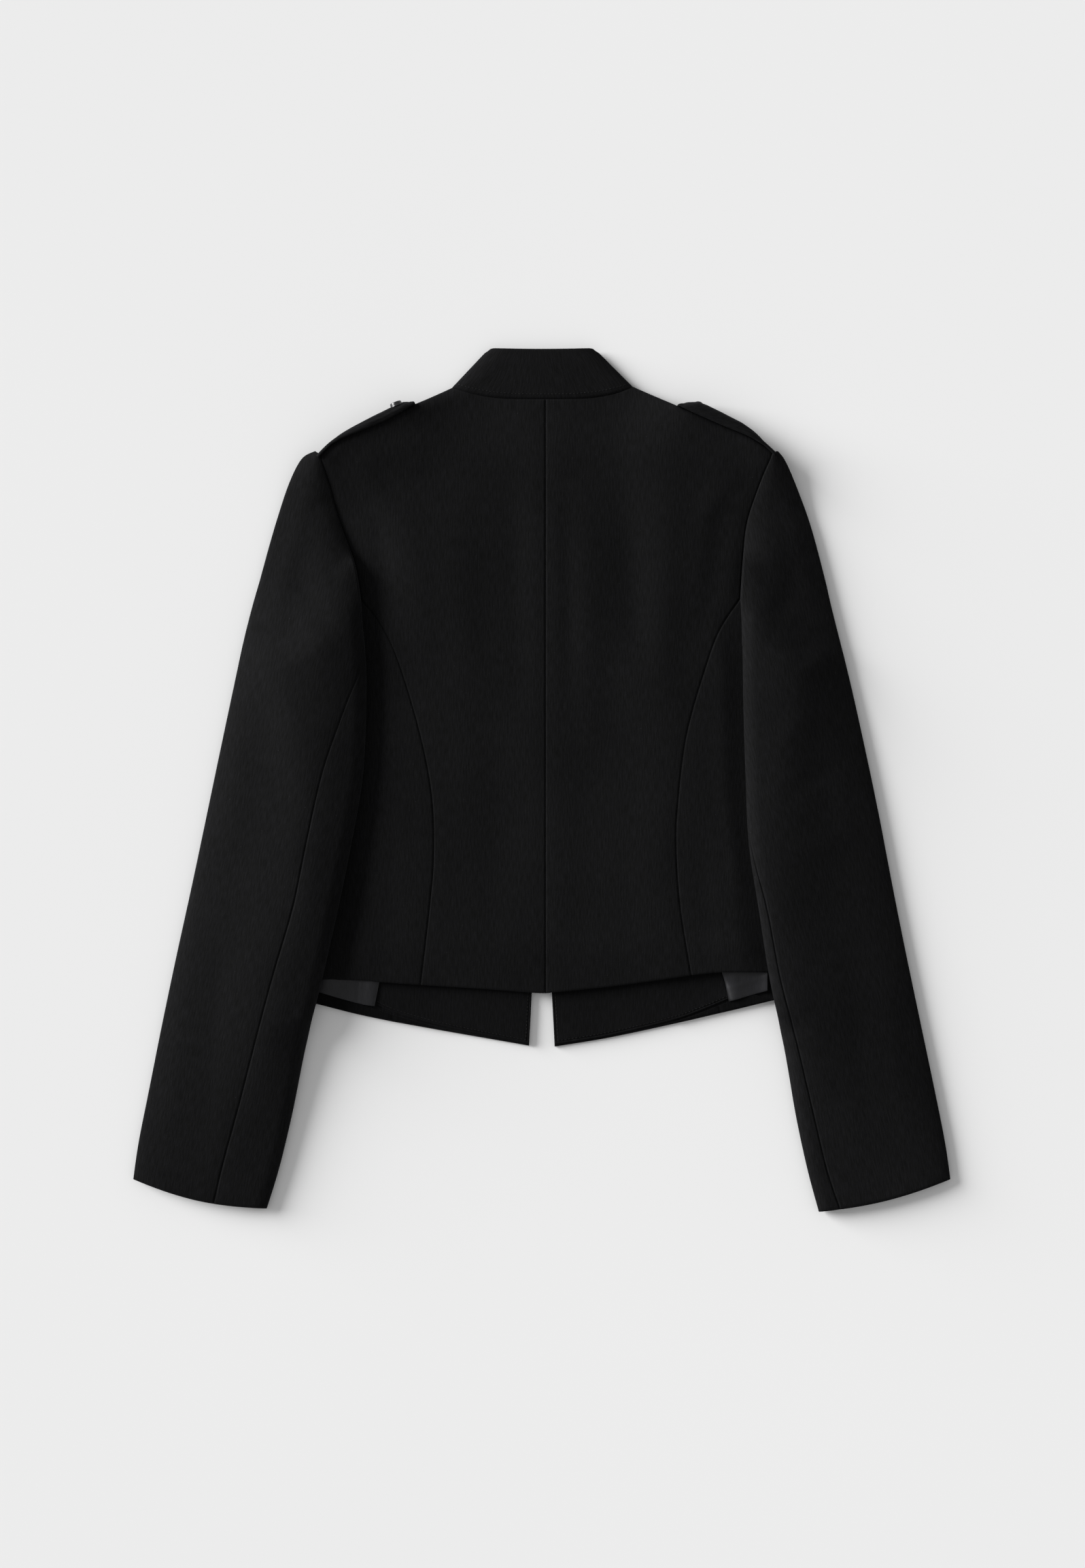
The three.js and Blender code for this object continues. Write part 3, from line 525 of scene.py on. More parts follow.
def long_panel(side, seam_key, neck):
    """Boundaries that a front and a back share: the armhole and the curved seam, and the shoulder
    and the neck."""
    armhole = spline(side["armhole"], ARMHOLE_SHARES)
    seam = spline(side[seam_key], SEAM_SHARES)
    shoulder = spline(side["shoulder"][::-1], SHOULDER_SHARES)
    return np.concatenate([armhole, seam[1:]]), np.concatenate([shoulder, neck[1:]])


def matched(rows, line):
    """Points of a curve with the same spacing as the points of another."""
    return spline(rows, way(line))


def added(piece):
    """Ties to the body a piece that the solids don't have."""
    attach(piece, "root")


def declare(piece, node):
    """Ties a piece to the body and hides the solid of the node that it stands for."""
    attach(piece, "root")
    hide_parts(node)


for side in SIDES:
    neck = front_neck(side, side["shoulder"][0], FRONT_NECK_DROP, NECK_SHARES)
    start, top = long_panel(side, "front_seam", neck)
    edge = [neck[-1].tolist()] + side["front_edge"]
    kinds = {"top": "fold", "bottom": "free", "start": "seam", "end": "free"}
    piece = body_panel(f"front_{side['name']}_cloth", False, top, matched(side["front_hem"], top),
                       start, matched(edge, start), kinds, COLUMNS_SHOULDER,
                       [side["front_seam_line"], side["armhole_line"]])
    declare(piece, f"front_{side['name']}")


def side_panel(side, layer, hem, fold, columns, folds=()):
    """A front's or a back's side panel, from the underarm to the hem and from the body's side to the
    curved seam."""
    shares = both_ends(columns)
    kinds = {"top": "free", "bottom": "free", "start": "fold", "end": "seam"}
    return body_panel(f"side_{layer}_{side['name']}_cloth", layer == "back",
                      spline(side["underarm"][::-1], shares), spline(hem, shares),
                      spline(fold, SEAM_SHARES), spline(side[f"{layer}_seam"], SEAM_SHARES),
                      kinds, None, [side[f"{layer}_seam_line"]], folds)


for side in SIDES:
    piece = side_panel(side, "front", side["front_side_hem"], side["side"], SIDE_FRONT_COLUMNS)
    declare(piece, f"side_front_{side['name']}")

# The facings, turned hems and linings: what shows inside the fronts below the back hem. The facing
# and the turned hem are the same suiting; the lining is thin grey satin, with a pleat for ease.

FACING_WALL, LINING_WALL = 1.2, 1.0
FACING_LEVEL = WALL + 0.3
LINING_LEVEL = WALL + FACING_WALL + 0.6
FACING_TOP, FACING_EDGE_TOP, FACING_INSET = -148.0, 7.0, 2.0
HEM_INSET, TURNED_HEM_TIP, LINING_REACH = 1.0, 0.7, 186.0
# Steps across and down each of these pieces.
FACING_GRID, TURNED_HEM_GRID, LINING_GRID = (90, 40), (80, 22), (70, 40)


def satin(name, colour, glint):
    """Lining satin: long floats of fine filament yarn, so it is smooth, and brighter than the
    suiting where it turns to the light."""
    material, tree, shader = surface(name, {
        "Roughness": 0.42, "Specular IOR Level": 0.3, "Anisotropic": 0.5})
    grain = add_node(tree, "ShaderNodeAttribute", {"attribute_name": "grain"}).outputs["Vector"]
    # Filament floats, 0.3 mm across and 6 mm long.
    drawn = add_node(tree, "ShaderNodeMapping", links={"Vector": grain},
                     values={"Scale": (2600.0, 150.0, 1.0)}).outputs["Vector"]
    floats = add_node(tree, "ShaderNodeTexNoise", links={"Vector": drawn},
                      values={"Scale": 1.0, "Detail": 2.0}).outputs["Fac"]
    shade = add_node(tree, "ShaderNodeValToRGB", links={"Fac": floats})
    dark, light = shade.color_ramp.elements
    dark.position, light.position = 0.3, 0.7
    dark.color, light.color = hex_colour(colour), hex_colour(glint)
    tree.links.new(shade.outputs["Color"], shader.inputs["Base Color"])
    bump = add_node(tree, "ShaderNodeBump", links={"Height": floats},
                    values={"Strength": 0.25, "Distance": 0.00015})
    tree.links.new(bump.outputs["Normal"], shader.inputs["Normal"])
    return material


# The facing's copy of the suiting is darker only as painted shade, for the shade beneath the back hem.
FACING = suiting("black_crepe_facing_painted_shade", "#0d0d0d", "#131314")
# The turned hem's copy is darker still, as painted shade for the shade beneath the back hem and the
# left sleeve.
TURNED = suiting("black_crepe_turned_hem_painted_shade", "#090909", "#0e0e0f")
LINING = satin("charcoal_satin_lining", "#131315", "#1d1d20")


def layer(name, top, bottom, start, end, height, thickness, material, relief):
    """A thin piece lying on the inside of a front: its plan is spread between four boundaries, at
    one height plus the relief that a function of the plan gives."""
    plan = spread(top, bottom, start, end)
    rise = relief(plan)
    return wall_piece(name, stack(plan, height + thickness + rise),
                      stack(plan, height + 0.6 * rise), material)


def facing_edges(side):
    """The rows of a facing's upper and lower edge, both ending at the front edge."""
    rows = side["facing_edge"][2:] + side["turn_up"][3:] + side["front_hem"][2:]
    return ([side["facing_edge"][0], [side["sign"] * FACING_EDGE_TOP, FACING_TOP]],
            [[x, y + FACING_INSET] for x, y in rows])


for side in SIDES:
    upper, lower = facing_edges(side)
    across, down = (both_ends(count) for count in FACING_GRID)
    top, bottom = spline(upper, across), spline(lower, across)
    start = spline([upper[0], side["facing_edge"][1], lower[0]], down)
    end = spline([upper[-1], lower[-1]], down)
    hem_line, edge_line, inner_line = bottom[::3], end[::2], start[::2]

    def facing_relief(xy):
        """Rounded edges, a groove 1.7 mm in from the front edge and the hem, where the front's own
        edge rolls to the inside and is stitched to the facing, and a slow swell between them."""
        to_edge = np.minimum(nearest(edge_line, xy)[0], nearest(hem_line, xy)[0])
        edge = -0.7 * (1 - rounding(to_edge, 0.9))
        groove = -0.5 * bell(to_edge - 1.7, 0.45)
        inner = -0.5 * (1 - rounding(nearest(inner_line, xy)[0], 1.2))
        swell = 0.35 * np.sin((xy[..., 0] + 0.35 * xy[..., 1]) / 17) * rounding(to_edge, 22)
        return edge + groove + inner + swell

    piece = layer(f"facing_{side['name']}_cloth", top, bottom, start, end, FACING_LEVEL, FACING_WALL,
                  FACING, facing_relief)
    declare(piece, f"facing_{side['name']}")

# The edge stitching: black polyester thread, one row just inside each facing's front edge and hem.

STITCH_PITCH, STITCH_LENGTH, STITCH_HALF, STITCH_INSET = 3.0, 2.0, 0.24, 2.7


def thread(name, colour):
    """Spun polyester thread: a fine twist that shows as light and dark along it, a little lustrous."""
    material, tree, shader = surface(name, {"Roughness": 0.5, "Specular IOR Level": 0.2})
    place = add_node(tree, "ShaderNodeTexCoord").outputs["Object"]
    twist = add_node(tree, "ShaderNodeTexNoise", links={"Vector": place},
                     values={"Scale": 2400.0, "Detail": 1.0}).outputs["Fac"]
    shade = add_node(tree, "ShaderNodeValToRGB", links={"Fac": twist})
    dark, light = shade.color_ramp.elements
    dark.color, light.color = hex_colour("#060606"), hex_colour(colour)
    tree.links.new(shade.outputs["Color"], shader.inputs["Base Color"])
    return material


THREAD = thread("black_polyester_thread", "#141415")


def stitch_row(name, path):
    """A row of stitches along a path, as one mesh: each is five rings of six points round the
    thread, which narrows to both ends, half sunk in the cloth."""
    lengths = travelled(path)
    at = np.arange(STITCH_PITCH, lengths[-1] - STITCH_PITCH, STITCH_PITCH)

    def along(s):
        return np.stack([np.interp(s, lengths, path[:, k]) for k in range(3)], -1)

    ahead = unit(along(at + 1) - along(at - 1))[:, None, None]
    across = unit(np.cross(ahead, [0, 0, 1]))
    upward = np.cross(across, ahead)
    t, angle = np.linspace(-1, 1, 5)[:, None, None], np.linspace(0, 2 * np.pi, 7)[:6][:, None]
    ring = STITCH_HALF * np.sqrt(1 - (0.95 * t) ** 2)
    points = along(at)[:, None, None] + ahead * t * STITCH_LENGTH / 2
    points = points + ring * (across * np.cos(angle) + upward * np.sin(angle))
    ids = np.arange(points[..., 0].size).reshape(points.shape[:3])
    after = np.roll(ids, -1, axis=2)
    round_it = np.stack([ids[:, :-1], ids[:, 1:], after[:, 1:], after[:, :-1]], -1).reshape(-1, 4)
    ends = [ids[:, 0][:, [0, 1, 2, 3]], ids[:, 0][:, [0, 3, 4, 5]],
            ids[:, -1][:, [3, 2, 1, 0]], ids[:, -1][:, [5, 4, 3, 0]]]
    points = points.reshape(-1, 3)
    faces = outwards(points, np.concatenate([round_it] + ends))
    added(mesh_of(name, points, faces, THREAD))


for side in SIDES:
    upper, lower = facing_edges(side)
    hem = spline(lower, even(120))
    edge = spline([lower[-1], upper[-1]], even(60))
    inside_hem = hem + [0, 1.02 * STITCH_INSET]
    inside_edge = edge + [side["sign"] * STITCH_INSET, 0]
    inside_hem = inside_hem[nearest(edge, inside_hem)[0] > STITCH_INSET]
    path = np.concatenate([inside_hem, inside_edge[inside_edge[:, 1] > inside_hem[-1, 1]]])
    stitch_row(f"facing_{side['name']}_stitches", stack(path, FACING_LEVEL + FACING_WALL + 0.02))

for side in SIDES:
    hem = [[x, y + HEM_INSET] for x, y in side["front_side_hem"][1:3] + side["front_hem"][:2]]
    tip = hem[-1]
    upper = side["turn_up"][1:4] + [[tip[0], tip[1] + TURNED_HEM_TIP]]
    across, down = even(TURNED_HEM_GRID[0]), both_ends(TURNED_HEM_GRID[1])
    start, end = spline([upper[0], hem[0]], down), spline([upper[3], tip], down)
    plan_hem = spline(hem, across)

    def turned_relief(xy):
        """A rounded hem edge, and the front's curved seam pressed through it."""
        edge = -0.8 * (1 - rounding(nearest(plan_hem[::2], xy)[0], 1.3))
        return edge - 0.5 * bell(nearest(side["front_seam_line"], xy)[0], 1.1)

    piece = layer(f"turned_hem_{side['name']}_cloth", spline(upper, across), plan_hem, start, end,
                  FACING_LEVEL, FACING_WALL, TURNED, turned_relief)
    declare(piece, f"turned_hem_{side['name']}")

# Each lining's pleat or fold that lies open below the back hem: x, y of its two ends, half width
# and height.
LINING_FOLDS = {
    "left": [[-139, -140, -142, -200, 6.0, 1.7], [-150.5, -140, -153, -200, 1.6, -0.6],
             [-170, -140, -173, -200, 9.0, 0.8]],
    "right": [[157, -140, 160, -200, 6.0, 1.3], [172, -140, 178, -190, 8.0, -0.9],
              [188, -150, 186, -186, 5.0, 1.3], [150, -172, 196, -158, 2.6, 0.5]],
}
LINING_DROP = {"left": -1.0, "right": 2.0}
for side in SIDES:
    sign = side["sign"]
    head, middle, foot = side["facing_edge"]
    reach = sign * LINING_REACH
    upper = [[reach, FACING_TOP], head]
    lower = [[reach, side["turn_up"][1][1] + LINING_DROP[side["name"]]], side["turn_up"][2], foot]
    across, down = (both_ends(count) for count in LINING_GRID)
    bottom = spline(lower, across)
    start, end = spline([upper[0], lower[0]], down), spline([head, middle, foot], down)
    hem_line, seam_line = bottom[::2], end[::2]

    def lining_relief(xy):
        """Folds of ease, with a soft turned edge at the hem and beside the facing."""
        edge = -0.55 * (1 - rounding(nearest(hem_line, xy)[0], 1.6))
        seam = -0.5 * bell(nearest(seam_line, xy)[0], 1.6)
        return edge + seam + creases(xy, LINING_FOLDS[side["name"]])

    piece = layer(f"lining_{side['name']}_cloth", spline(upper, across), bottom, start, end,
                  LINING_LEVEL, LINING_WALL, LINING, lining_relief)
    declare(piece, f"lining_{side['name']}")

# The backs: two halves of the same suiting, joined down the centre and to the side backs by curved
# seams from the armholes to the hem, pressed open.


NECK_LOW, NECK_RISE = 314.4, 9.8  # the back neck at its middle, and its rise to the shoulders


def back_neck(x):
    """The neck seam's plan y: flat at the centre back, curving up to the shoulders as a cube."""
    reach = np.where(x < CENTRE_BACK, CENTRE_BACK - LEFT["shoulder"][0][0],
                     RIGHT["shoulder"][0][0] - CENTRE_BACK)
    return NECK_LOW + NECK_RISE * np.abs((x - CENTRE_BACK) / reach) ** 3


CENTRE_LINE = [[CENTRE_BACK, NECK_LOW], [CENTRE_BACK, 0], [CENTRE_BACK, HEM_LOW]]
CENTRE_SEAM = spline(CENTRE_LINE, even(4))
# Where the cloth has settled: ridges and troughs across each back, from the photo's light bands.
BACK_FOLDS = {
    "left": [[-68, 262, -58, -60, 20, 1.5], [-24, 262, -18, 40, 11, -0.9],
             [-112, 240, -96, 70, 14, 0.9], [-140, 240, -122, 120, 9, -1.0],
             [-158, 262, -108, 200, 9, 0.7], [-60, -20, -50, -170, 16, 0.6],
             [-100, 262, -60, 230, 9, -0.6]],
    "right": [[36, 256, 42, 20, 13, 1.1], [66, 268, 78, 90, 13, -1.6],
              [104, 250, 96, 60, 15, 1.5], [20, 240, 24, 60, 7, -0.6],
              [150, 238, 132, 110, 10, -1.2], [166, 262, 128, 210, 9, 0.7],
              [60, 0, 52, -170, 16, 0.6]],
}
for side in SIDES:
    half = side["shoulder"][0][0] + (CENTRE_BACK - side["shoulder"][0][0]) * NECK_SHARES
    neck = np.stack([half, back_neck(half)], -1)
    start, top = long_panel(side, "back_seam", neck)
    kinds = {"top": "fold", "bottom": "free", "start": "seam", "end": "seam"}
    seams = [CENTRE_SEAM, side["back_seam_line"], side["armhole_line"], neck[::2]]
    piece = body_panel(f"back_{side['name']}_cloth", True, top, matched(side["back_hem"], top), start,
                       matched(CENTRE_LINE, start), kinds, COLUMNS_SHOULDER, seams,
                       BACK_FOLDS[side["name"]], side["armhole_line"])
    declare(piece, f"back_{side['name']}")

# The side backs sink beside the sleeves, most at the left hem.
SIDE_FOLDS = {
    "left": [[-150, 170, -200, -240, 22, -2.7], [-165, -40, -172, -230, 16, -1.6],
             [-118, 40, -112, -150, 9, 0.4]],
    "right": [[176, 190, 206, -260, 15, -3.0], [140, -20, 150, -170, 8, 0.35],
              [128, -112, 190, -128, 6, -0.6], [150, -132, 200, -142, 5, 0.5]],
}
for side in SIDES:
    piece = side_panel(side, "back", side["side_hem"], side["side"][:-1], SIDE_BACK_COLUMNS,
                       SIDE_FOLDS[side["name"]])
    declare(piece, f"side_back_{side['name']}")

# The turnings: the cloth left inside each seam, pressed open beneath the backs and towards the
# sleeves. They close the seams against light.

TURNING_HALF, TURNING_WALL, TURNING_HEIGHT = 5.0, 0.6, 0.45


def turnings(name, line):
    """A strip that follows a seam, with even steps across it, a little above the lower layer."""
    ahead = unit(np.gradient(line, axis=0))
    step = np.linspace(-TURNING_HALF, TURNING_HALF, 5)[None, :, None]
    plan = line[:, None] + np.stack([-ahead[:, 1], ahead[:, 0]], -1)[:, None] * step
    floor = lift(plan) + WALL + TURNING_HEIGHT
    added(wall_piece(name, stack(plan, floor + TURNING_WALL), stack(plan, floor), SUITING))


turnings("centre_seam_turnings", spline([[CENTRE_BACK, 300], [CENTRE_BACK, -174.6]], even(60)))
for side in SIDES:
    turnings(f"curved_seam_turnings_{side['name']}", spline(side["back_seam"][1:], even(60))[:-2])
    arm = [row[2:4] for row in side["arm"][:2]]
    turnings(f"armhole_turnings_{side['name']}", spline(side["armhole"][1:] + arm, even(40)))

# The collar: a stand band of two layers of suiting, seamed to the neck and pressed flat. Its back
# lies on top, it folds at both slopes, and its two front ends lie beneath.

COLLAR_HEIGHT, COLLAR_TOP, COLLAR_TOP_HALF, COLLAR_DIP = 41.0, 356.6, 43.4, 0.8
COLLAR_STITCHES, COLLAR_STITCHED = 3.4, slice(60, 167)  # height over the neck seam, and columns
FRONT_COLLAR_DROP, COLLAR_ROLL = 57.0, 17.0
# The top corners are let down: how far, over what reach, and from what share of the height.
COLLAR_CORNER, CORNER_REACH, CORNER_FROM = 1.8, 5.0, 0.86
# The neck seam's trough beneath it, and its own swell, with shallow waves round the neck.
COLLAR_TROUGH, COLLAR_TROUGH_HALF, COLLAR_SWELL, COLLAR_WAVE, WAVE_REACH = 0.6, 2.3, 0.5, 0.25, 13


def mix(a, b, t):
    """A value on the straight way from a to b, at a share t of it."""
    return a + (b - a) * t


def collar_place(side, step, under, v):
    """A point of the collar's plan, a step from a fold to the centre and a share v of its height."""
    low_x, low_y = side["shoulder"][0]
    fold_x = mix(low_x, side["sign"] * COLLAR_TOP_HALF, v)
    fold_y = mix(low_y, COLLAR_TOP, v)
    if under:
        x = side["sign"] * (FRONT_GAP + (np.abs(fold_x) - FRONT_GAP) * np.cos(step * np.pi / 2))
        return x, fold_y - mix(FRONT_NECK_DROP, FRONT_COLLAR_DROP, v) * np.sin(step * np.pi / 2)
    centre = CENTRE_BACK * (1 - v)
    x = mix(fold_x, centre, step)
    upper = COLLAR_TOP - COLLAR_DIP * (1 - ((x - centre) / (fold_x - centre)) ** 2)
    return x, mix(back_neck(mix(low_x, CENTRE_BACK, step)), upper, v)


def collar_points(rows, steps, inset):
    """The band's points at an inset from its outer face: it runs from the front end beneath one
    side, round the fold, over the back, and round the other fold to the other front end."""
    v = rows[:, None]
    parts = [(LEFT, steps[::-1], True), (LEFT, steps[1:], False),
             (RIGHT, steps[::-1][1:], False), (RIGHT, steps[1:], True)]
    bands = []
    for side, part, under in parts:
        x, y = collar_place(side, part[None, :], under, v)
        fold = np.stack(collar_place(side, np.zeros((1, 1)), under, v), -1)
        away = np.linalg.norm(np.stack([x, y], -1) - fold, axis=-1)
        reach = np.clip(1 - away / FOLD_RADIUS, 0, 1)
        x = x - side["sign"] * inset * reach
        corner = (1 - rounding(away, CORNER_REACH)) * smooth((v - CORNER_FROM) / (1 - CORNER_FROM))
        y = y - COLLAR_CORNER * corner
        plan = np.stack([x, y], -1)
        full = 2 * WALL + LAY_SPACE + BAND_RISE
        radius = (UNDERSIDE_RADIUS if under else COLLAR_ROLL) - inset
        turn = rounding(np.maximum(0, away - inset * (1 - reach)), radius)
        top_edge = HEM_ROUND * (1 - rounding((1 - v) * COLLAR_HEIGHT, FOLD_REACH))
        rise = (full / 2 - inset) * turn + (top_edge if inset else -top_edge) * turn
        if not under:
            up = v * COLLAR_HEIGHT
            seam = COLLAR_TROUGH * bell(up, COLLAR_TROUGH_HALF) + SEAM_NICK * bell(up, NICK_HALF)
            swell = COLLAR_SWELL + COLLAR_WAVE * np.sin(x / WAVE_REACH + 2 * v)
            rise = rise + (swell * np.sin(np.pi * v) - seam) * turn
        rise = rise * np.ones_like(x)
        bands.append(stack(plan, lift(plan) + full / 2 + (-rise if under else rise)))
    return np.concatenate(bands, axis=1)


COLLAR_ROWS = both_ends(40)
COLLAR_ROWS[0] = 0.1 / COLLAR_HEIGHT  # clear of the neck seam
COLLAR_STEPS = even(56) ** 1.9
outer = collar_points(COLLAR_ROWS, COLLAR_STEPS, 0.0)
inner = collar_points(COLLAR_ROWS, COLLAR_STEPS, WALL)
# The grain runs round the neck: along the band, and across its height.
along_band = travelled(outer[len(outer) // 2])
band_grain = np.stack(np.broadcast_arrays(along_band[None, :] - along_band.mean(),
                                          COLLAR_ROWS[:, None] * COLLAR_HEIGHT), -1) / 1000
piece = wall_piece("collar_cloth", outer, inner, SUITING, band_grain)
row = np.searchsorted(COLLAR_ROWS * COLLAR_HEIGHT, COLLAR_STITCHES)
stitch_row("collar_stitches", outer[row, COLLAR_STITCHED] + [0, 0, 0.05])
declare(piece, "collar")

# The sleeves: each is a top sleeve and an under sleeve, flattened into a tube. The back seam runs
# down the upper side, the front seam beneath, and the head is eased into the armhole.

LAYER_HEIGHT = 9.0
SLEEVE_ROLL, SLEEVE_FOLD_RADIUS = 30.0, 11.0
COVER_BEYOND, COVER_REACH, SLEEVE_CLEARANCE = 10.0, 20.0, 0.9
# The part of the body under a sleeve: how far it is taken above the underarm, and the plan x and the
# lowest and highest y of its inner side, well inside the body.
COVER_RAISED, COVER_INNER, COVER_SPAN = 16.0, 100.0, (-200.0, 165.0)
# The upper layer bridges the step at the body's side: it starts down over the body, and follows
# the layer beneath only near its fold.
BRIDGE_STARTS, BRIDGE_ENDS = 14.0, 36.0
CUFF_BOW, BOW_STARTS_AT = {"left": 5.6, "right": 4.2}, -120.0
FRONT_SEAM_SHARE, FRONT_SEAM_DIP = 0.8, 0.6  # share of the width, and of another seam's depth
TOP_SLEEVE_COLUMNS, UNDER_SLEEVE_COLUMNS, FALL_ROWS = 104, 56, 8
# How far a sleeve's upper side swells past its pressed height, from the shoulder to the cuff.
FULLNESS = {
    "left": [[-0.09, 0.5], [0, 3.8], [0.12, 5.2], [0.3, 5], [0.6, 4], [0.9, 2.2], [1, 1]],
    "right": [[-0.09, 0.5], [0, 2.4], [0.12, 2.6], [0.3, 2.4], [0.6, 1.8], [0.9, 1.2], [1, 0.6]],
}
# How much higher than its pressed height the whole upper side stands, at both edges too.
SLEEVE_LOFT = {
    "left": [[-0.09, 0], [0.03, 2], [0.12, 4], [0.6, 4], [0.85, 1], [1, 0]],
    "right": [[-0.09, 0], [0.03, 0.6], [0.12, 1.2], [0.6, 1], [0.85, 0.4], [1, 0]],
}
ROWS_ARM = 150
SLEEVE_SLANT = 0.188  # how far a sleeve's middle swings out for each mm down
# The fall near the underarm: its first row on the head, rows on down the arm, wall, and how far it
# is sunk below the body's upper side.
FALL_STARTS, FALL_ENDS, FALL_WALL, FALL_SUNK = 18, 23, 1.3, 3.2


def inside(polygon, xy):
    """Whether points lie in a polygon, by the number of its sides that a line from each crosses."""
    odd = np.zeros(xy.shape[:-1], bool)
    x, y = xy[..., 0], xy[..., 1]
    for a, b in zip(polygon, np.roll(polygon, -1, axis=0)):
        crosses = (a[1] > y) != (b[1] > y)
        rise = b[1] - a[1] if b[1] != a[1] else 1e-9
        odd ^= crosses & (x < (b[0] - a[0]) * (y - a[1]) / rise + a[0])
    return odd


def beyond_body(side, xy):
    """Distance of points from the part of the body that lies under a sleeve, negative on it."""
    raised = [[x, y + COVER_RAISED - k] for k, (x, y) in enumerate(side["underarm"])]
    inner = [[side["sign"] * COVER_INNER, y] for y in COVER_SPAN]
    covered = np.concatenate([raised, side["side_line"][1:], inner])
    edge = nearest(np.concatenate([covered, covered[:1]]), xy)[0]
    return np.where(inside(covered, xy), -edge, edge)


def sleeve_base(xy, out, beyond, reach):
    """Height of a sleeve's layer over the surface: it lies on the body's side, and from a distance
    beyond it comes down along a half wave of the given reach."""
    t = np.clip((out - beyond) / reach, 0, 1)
    cover = (body_height(xy) + SLEEVE_CLEARANCE) * 0.5 * (1 + np.cos(np.pi * t))
    return np.maximum(lift(xy), cover)


def sleeve_rows(side):
    """The rows down a sleeve: its outer and inner edge, how far its inner edge is folded, where the
    back and front seams run, and how far the row bows."""
    down = ARMHOLE_SHARES
    outer = spline(side["sleeve_head"], down)
    inner = spline(side["armhole"], down)
    head = np.concatenate([outer, inner, np.ones((len(down), 1))], 1)
    steps = len(side["arm"])
    below = even(ROWS_ARM) * steps
    arm = cubic(np.concatenate([head[-1:], side["arm"]]), below)
    t = np.concatenate([down - 1, below[1:]])
    rows = np.concatenate([head, arm[1:]])
    bottom = side["arm"][-1][1]
    return {
        "outer": rows[:, :2],
        "inner": rows[:, 2:4],
        "back_seam": np.clip(rows[:, 4], 0, 1),
        "fold": smooth((t + 0.3) / 1.3),
        "front_seam": 1 - (1 - FRONT_SEAM_SHARE) * smooth((t + 0.1) / 1.1),
        "bow": CUFF_BOW[side["name"]] * smooth((BOW_STARTS_AT - rows[:, 1]) / (BOW_STARTS_AT - bottom)),
        "down": t / steps,
    }


def turn_at(share):
    """The turn at a share of a sleeve's width: the arc cosine of 1 less twice the share, over pi."""
    return np.arccos(np.clip(1 - 2 * share, -1, 1)) / np.pi


def sleeve_points(side, rows, turn, inset, folds):
    """Points of a sleeve. A turn goes once round the tube: 0 at the outer edge, 1 at the inner one
    by way of the upper side, and on to 2, or from 0 to -1, by way of the side that rests. Both
    edges are quarter rounds, and the upper side swells between them."""
    def column(key):
        return rows[key][:, None]

    under = (turn < 0) | (turn > 1)
    part = np.where(turn < 0, -turn, np.where(turn > 1, 2 - turn, turn))
    share = (1 - np.cos(part * np.pi)) / 2
    run = rows["inner"] - rows["outer"]
    width = np.linalg.norm(run, axis=1)[:, None]
    run = (run / width)[:, None, :]
    fold = column("fold")
    clear = width - SEAM_CLEARANCE * (1 - fold) - inset * (1 + fold)
    plan = rows["outer"][:, None, :] + run * (inset + share * clear)[..., None]
    bow = side["sign"] * column("bow") * np.sin(np.pi * share)
    plan = plan + np.stack([-run[..., 1], run[..., 0]], -1) * bow[..., None]
    half = LAYER_HEIGHT / 2
    outer_reach = np.where(under, UNDERSIDE_RADIUS, SLEEVE_ROLL) - inset
    inner_reach = np.where(under, UNDERSIDE_RADIUS, SLEEVE_FOLD_RADIUS) - inset
    at_fold = 1 - fold + fold * rounding((1 - share) * clear, inner_reach)
    turned = rounding(share * clear, outer_reach) * at_fold
    rise = (half - inset) * turned
    down = column("down")
    full = looked_up(FULLNESS[side["name"]], down) * np.sin(np.pi * share**1.5)
    seam = dip(np.abs(share - column("back_seam")) * width)
    beneath = FRONT_SEAM_DIP * dip(np.abs(share - column("front_seam")) * width)
    # The cuff's edge is a fold of both layers, rounded.
    below = travelled(rows["outer"])
    cuff = HEM_ROUND * (1 - rounding((below[-1] - below)[:, None], FOLD_REACH))
    full = full + looked_up(SLEEVE_LOFT[side["name"]], down) * turned
    upper = full + (creases(plan, folds) - seam * (inset == 0)) * np.minimum(turned * 1.2, 1)
    rise = rise + np.where(under, -beneath * turned * (inset == 0), upper)
    rise = rise + (cuff if inset else -cuff) * turned
    out = beyond_body(side, plan)
    base = sleeve_base(plan, out, COVER_BEYOND, COVER_REACH)
    whole = np.maximum(beyond_body(side, rows["outer"]), COVER_BEYOND + COVER_REACH)[:, None]
    bridged = sleeve_base(plan, out, -BRIDGE_STARTS, whole + BRIDGE_STARTS)
    taut = rounding((1 - share) * clear, BRIDGE_ENDS)
    over = base + (bridged - base) * taut
    return stack(plan, half + np.where(under, base - rise, over + rise))


def sleeve_panel(name, side, rows, start, end, count, folds):
    """One panel of a sleeve, from one turn to another on each row. Its grain runs straight down
    from the shoulder, in line with the arm."""
    turn = mix(start[:, None], end[:, None], both_ends(count, 0.93)[None, :])
    outer = sleeve_points(side, rows, turn, 0.0, folds)
    inner = sleeve_points(side, rows, turn, WALL, folds)
    arm = unit(np.array([-side["sign"] * SLEEVE_SLANT, 1.0]))
    across = outer[..., :2] @ np.array([arm[1], -arm[0]])
    grain = np.stack([across, outer[..., :2] @ arm], -1) / 1000
    return wall_piece(name, outer, inner, SUITING, grain)


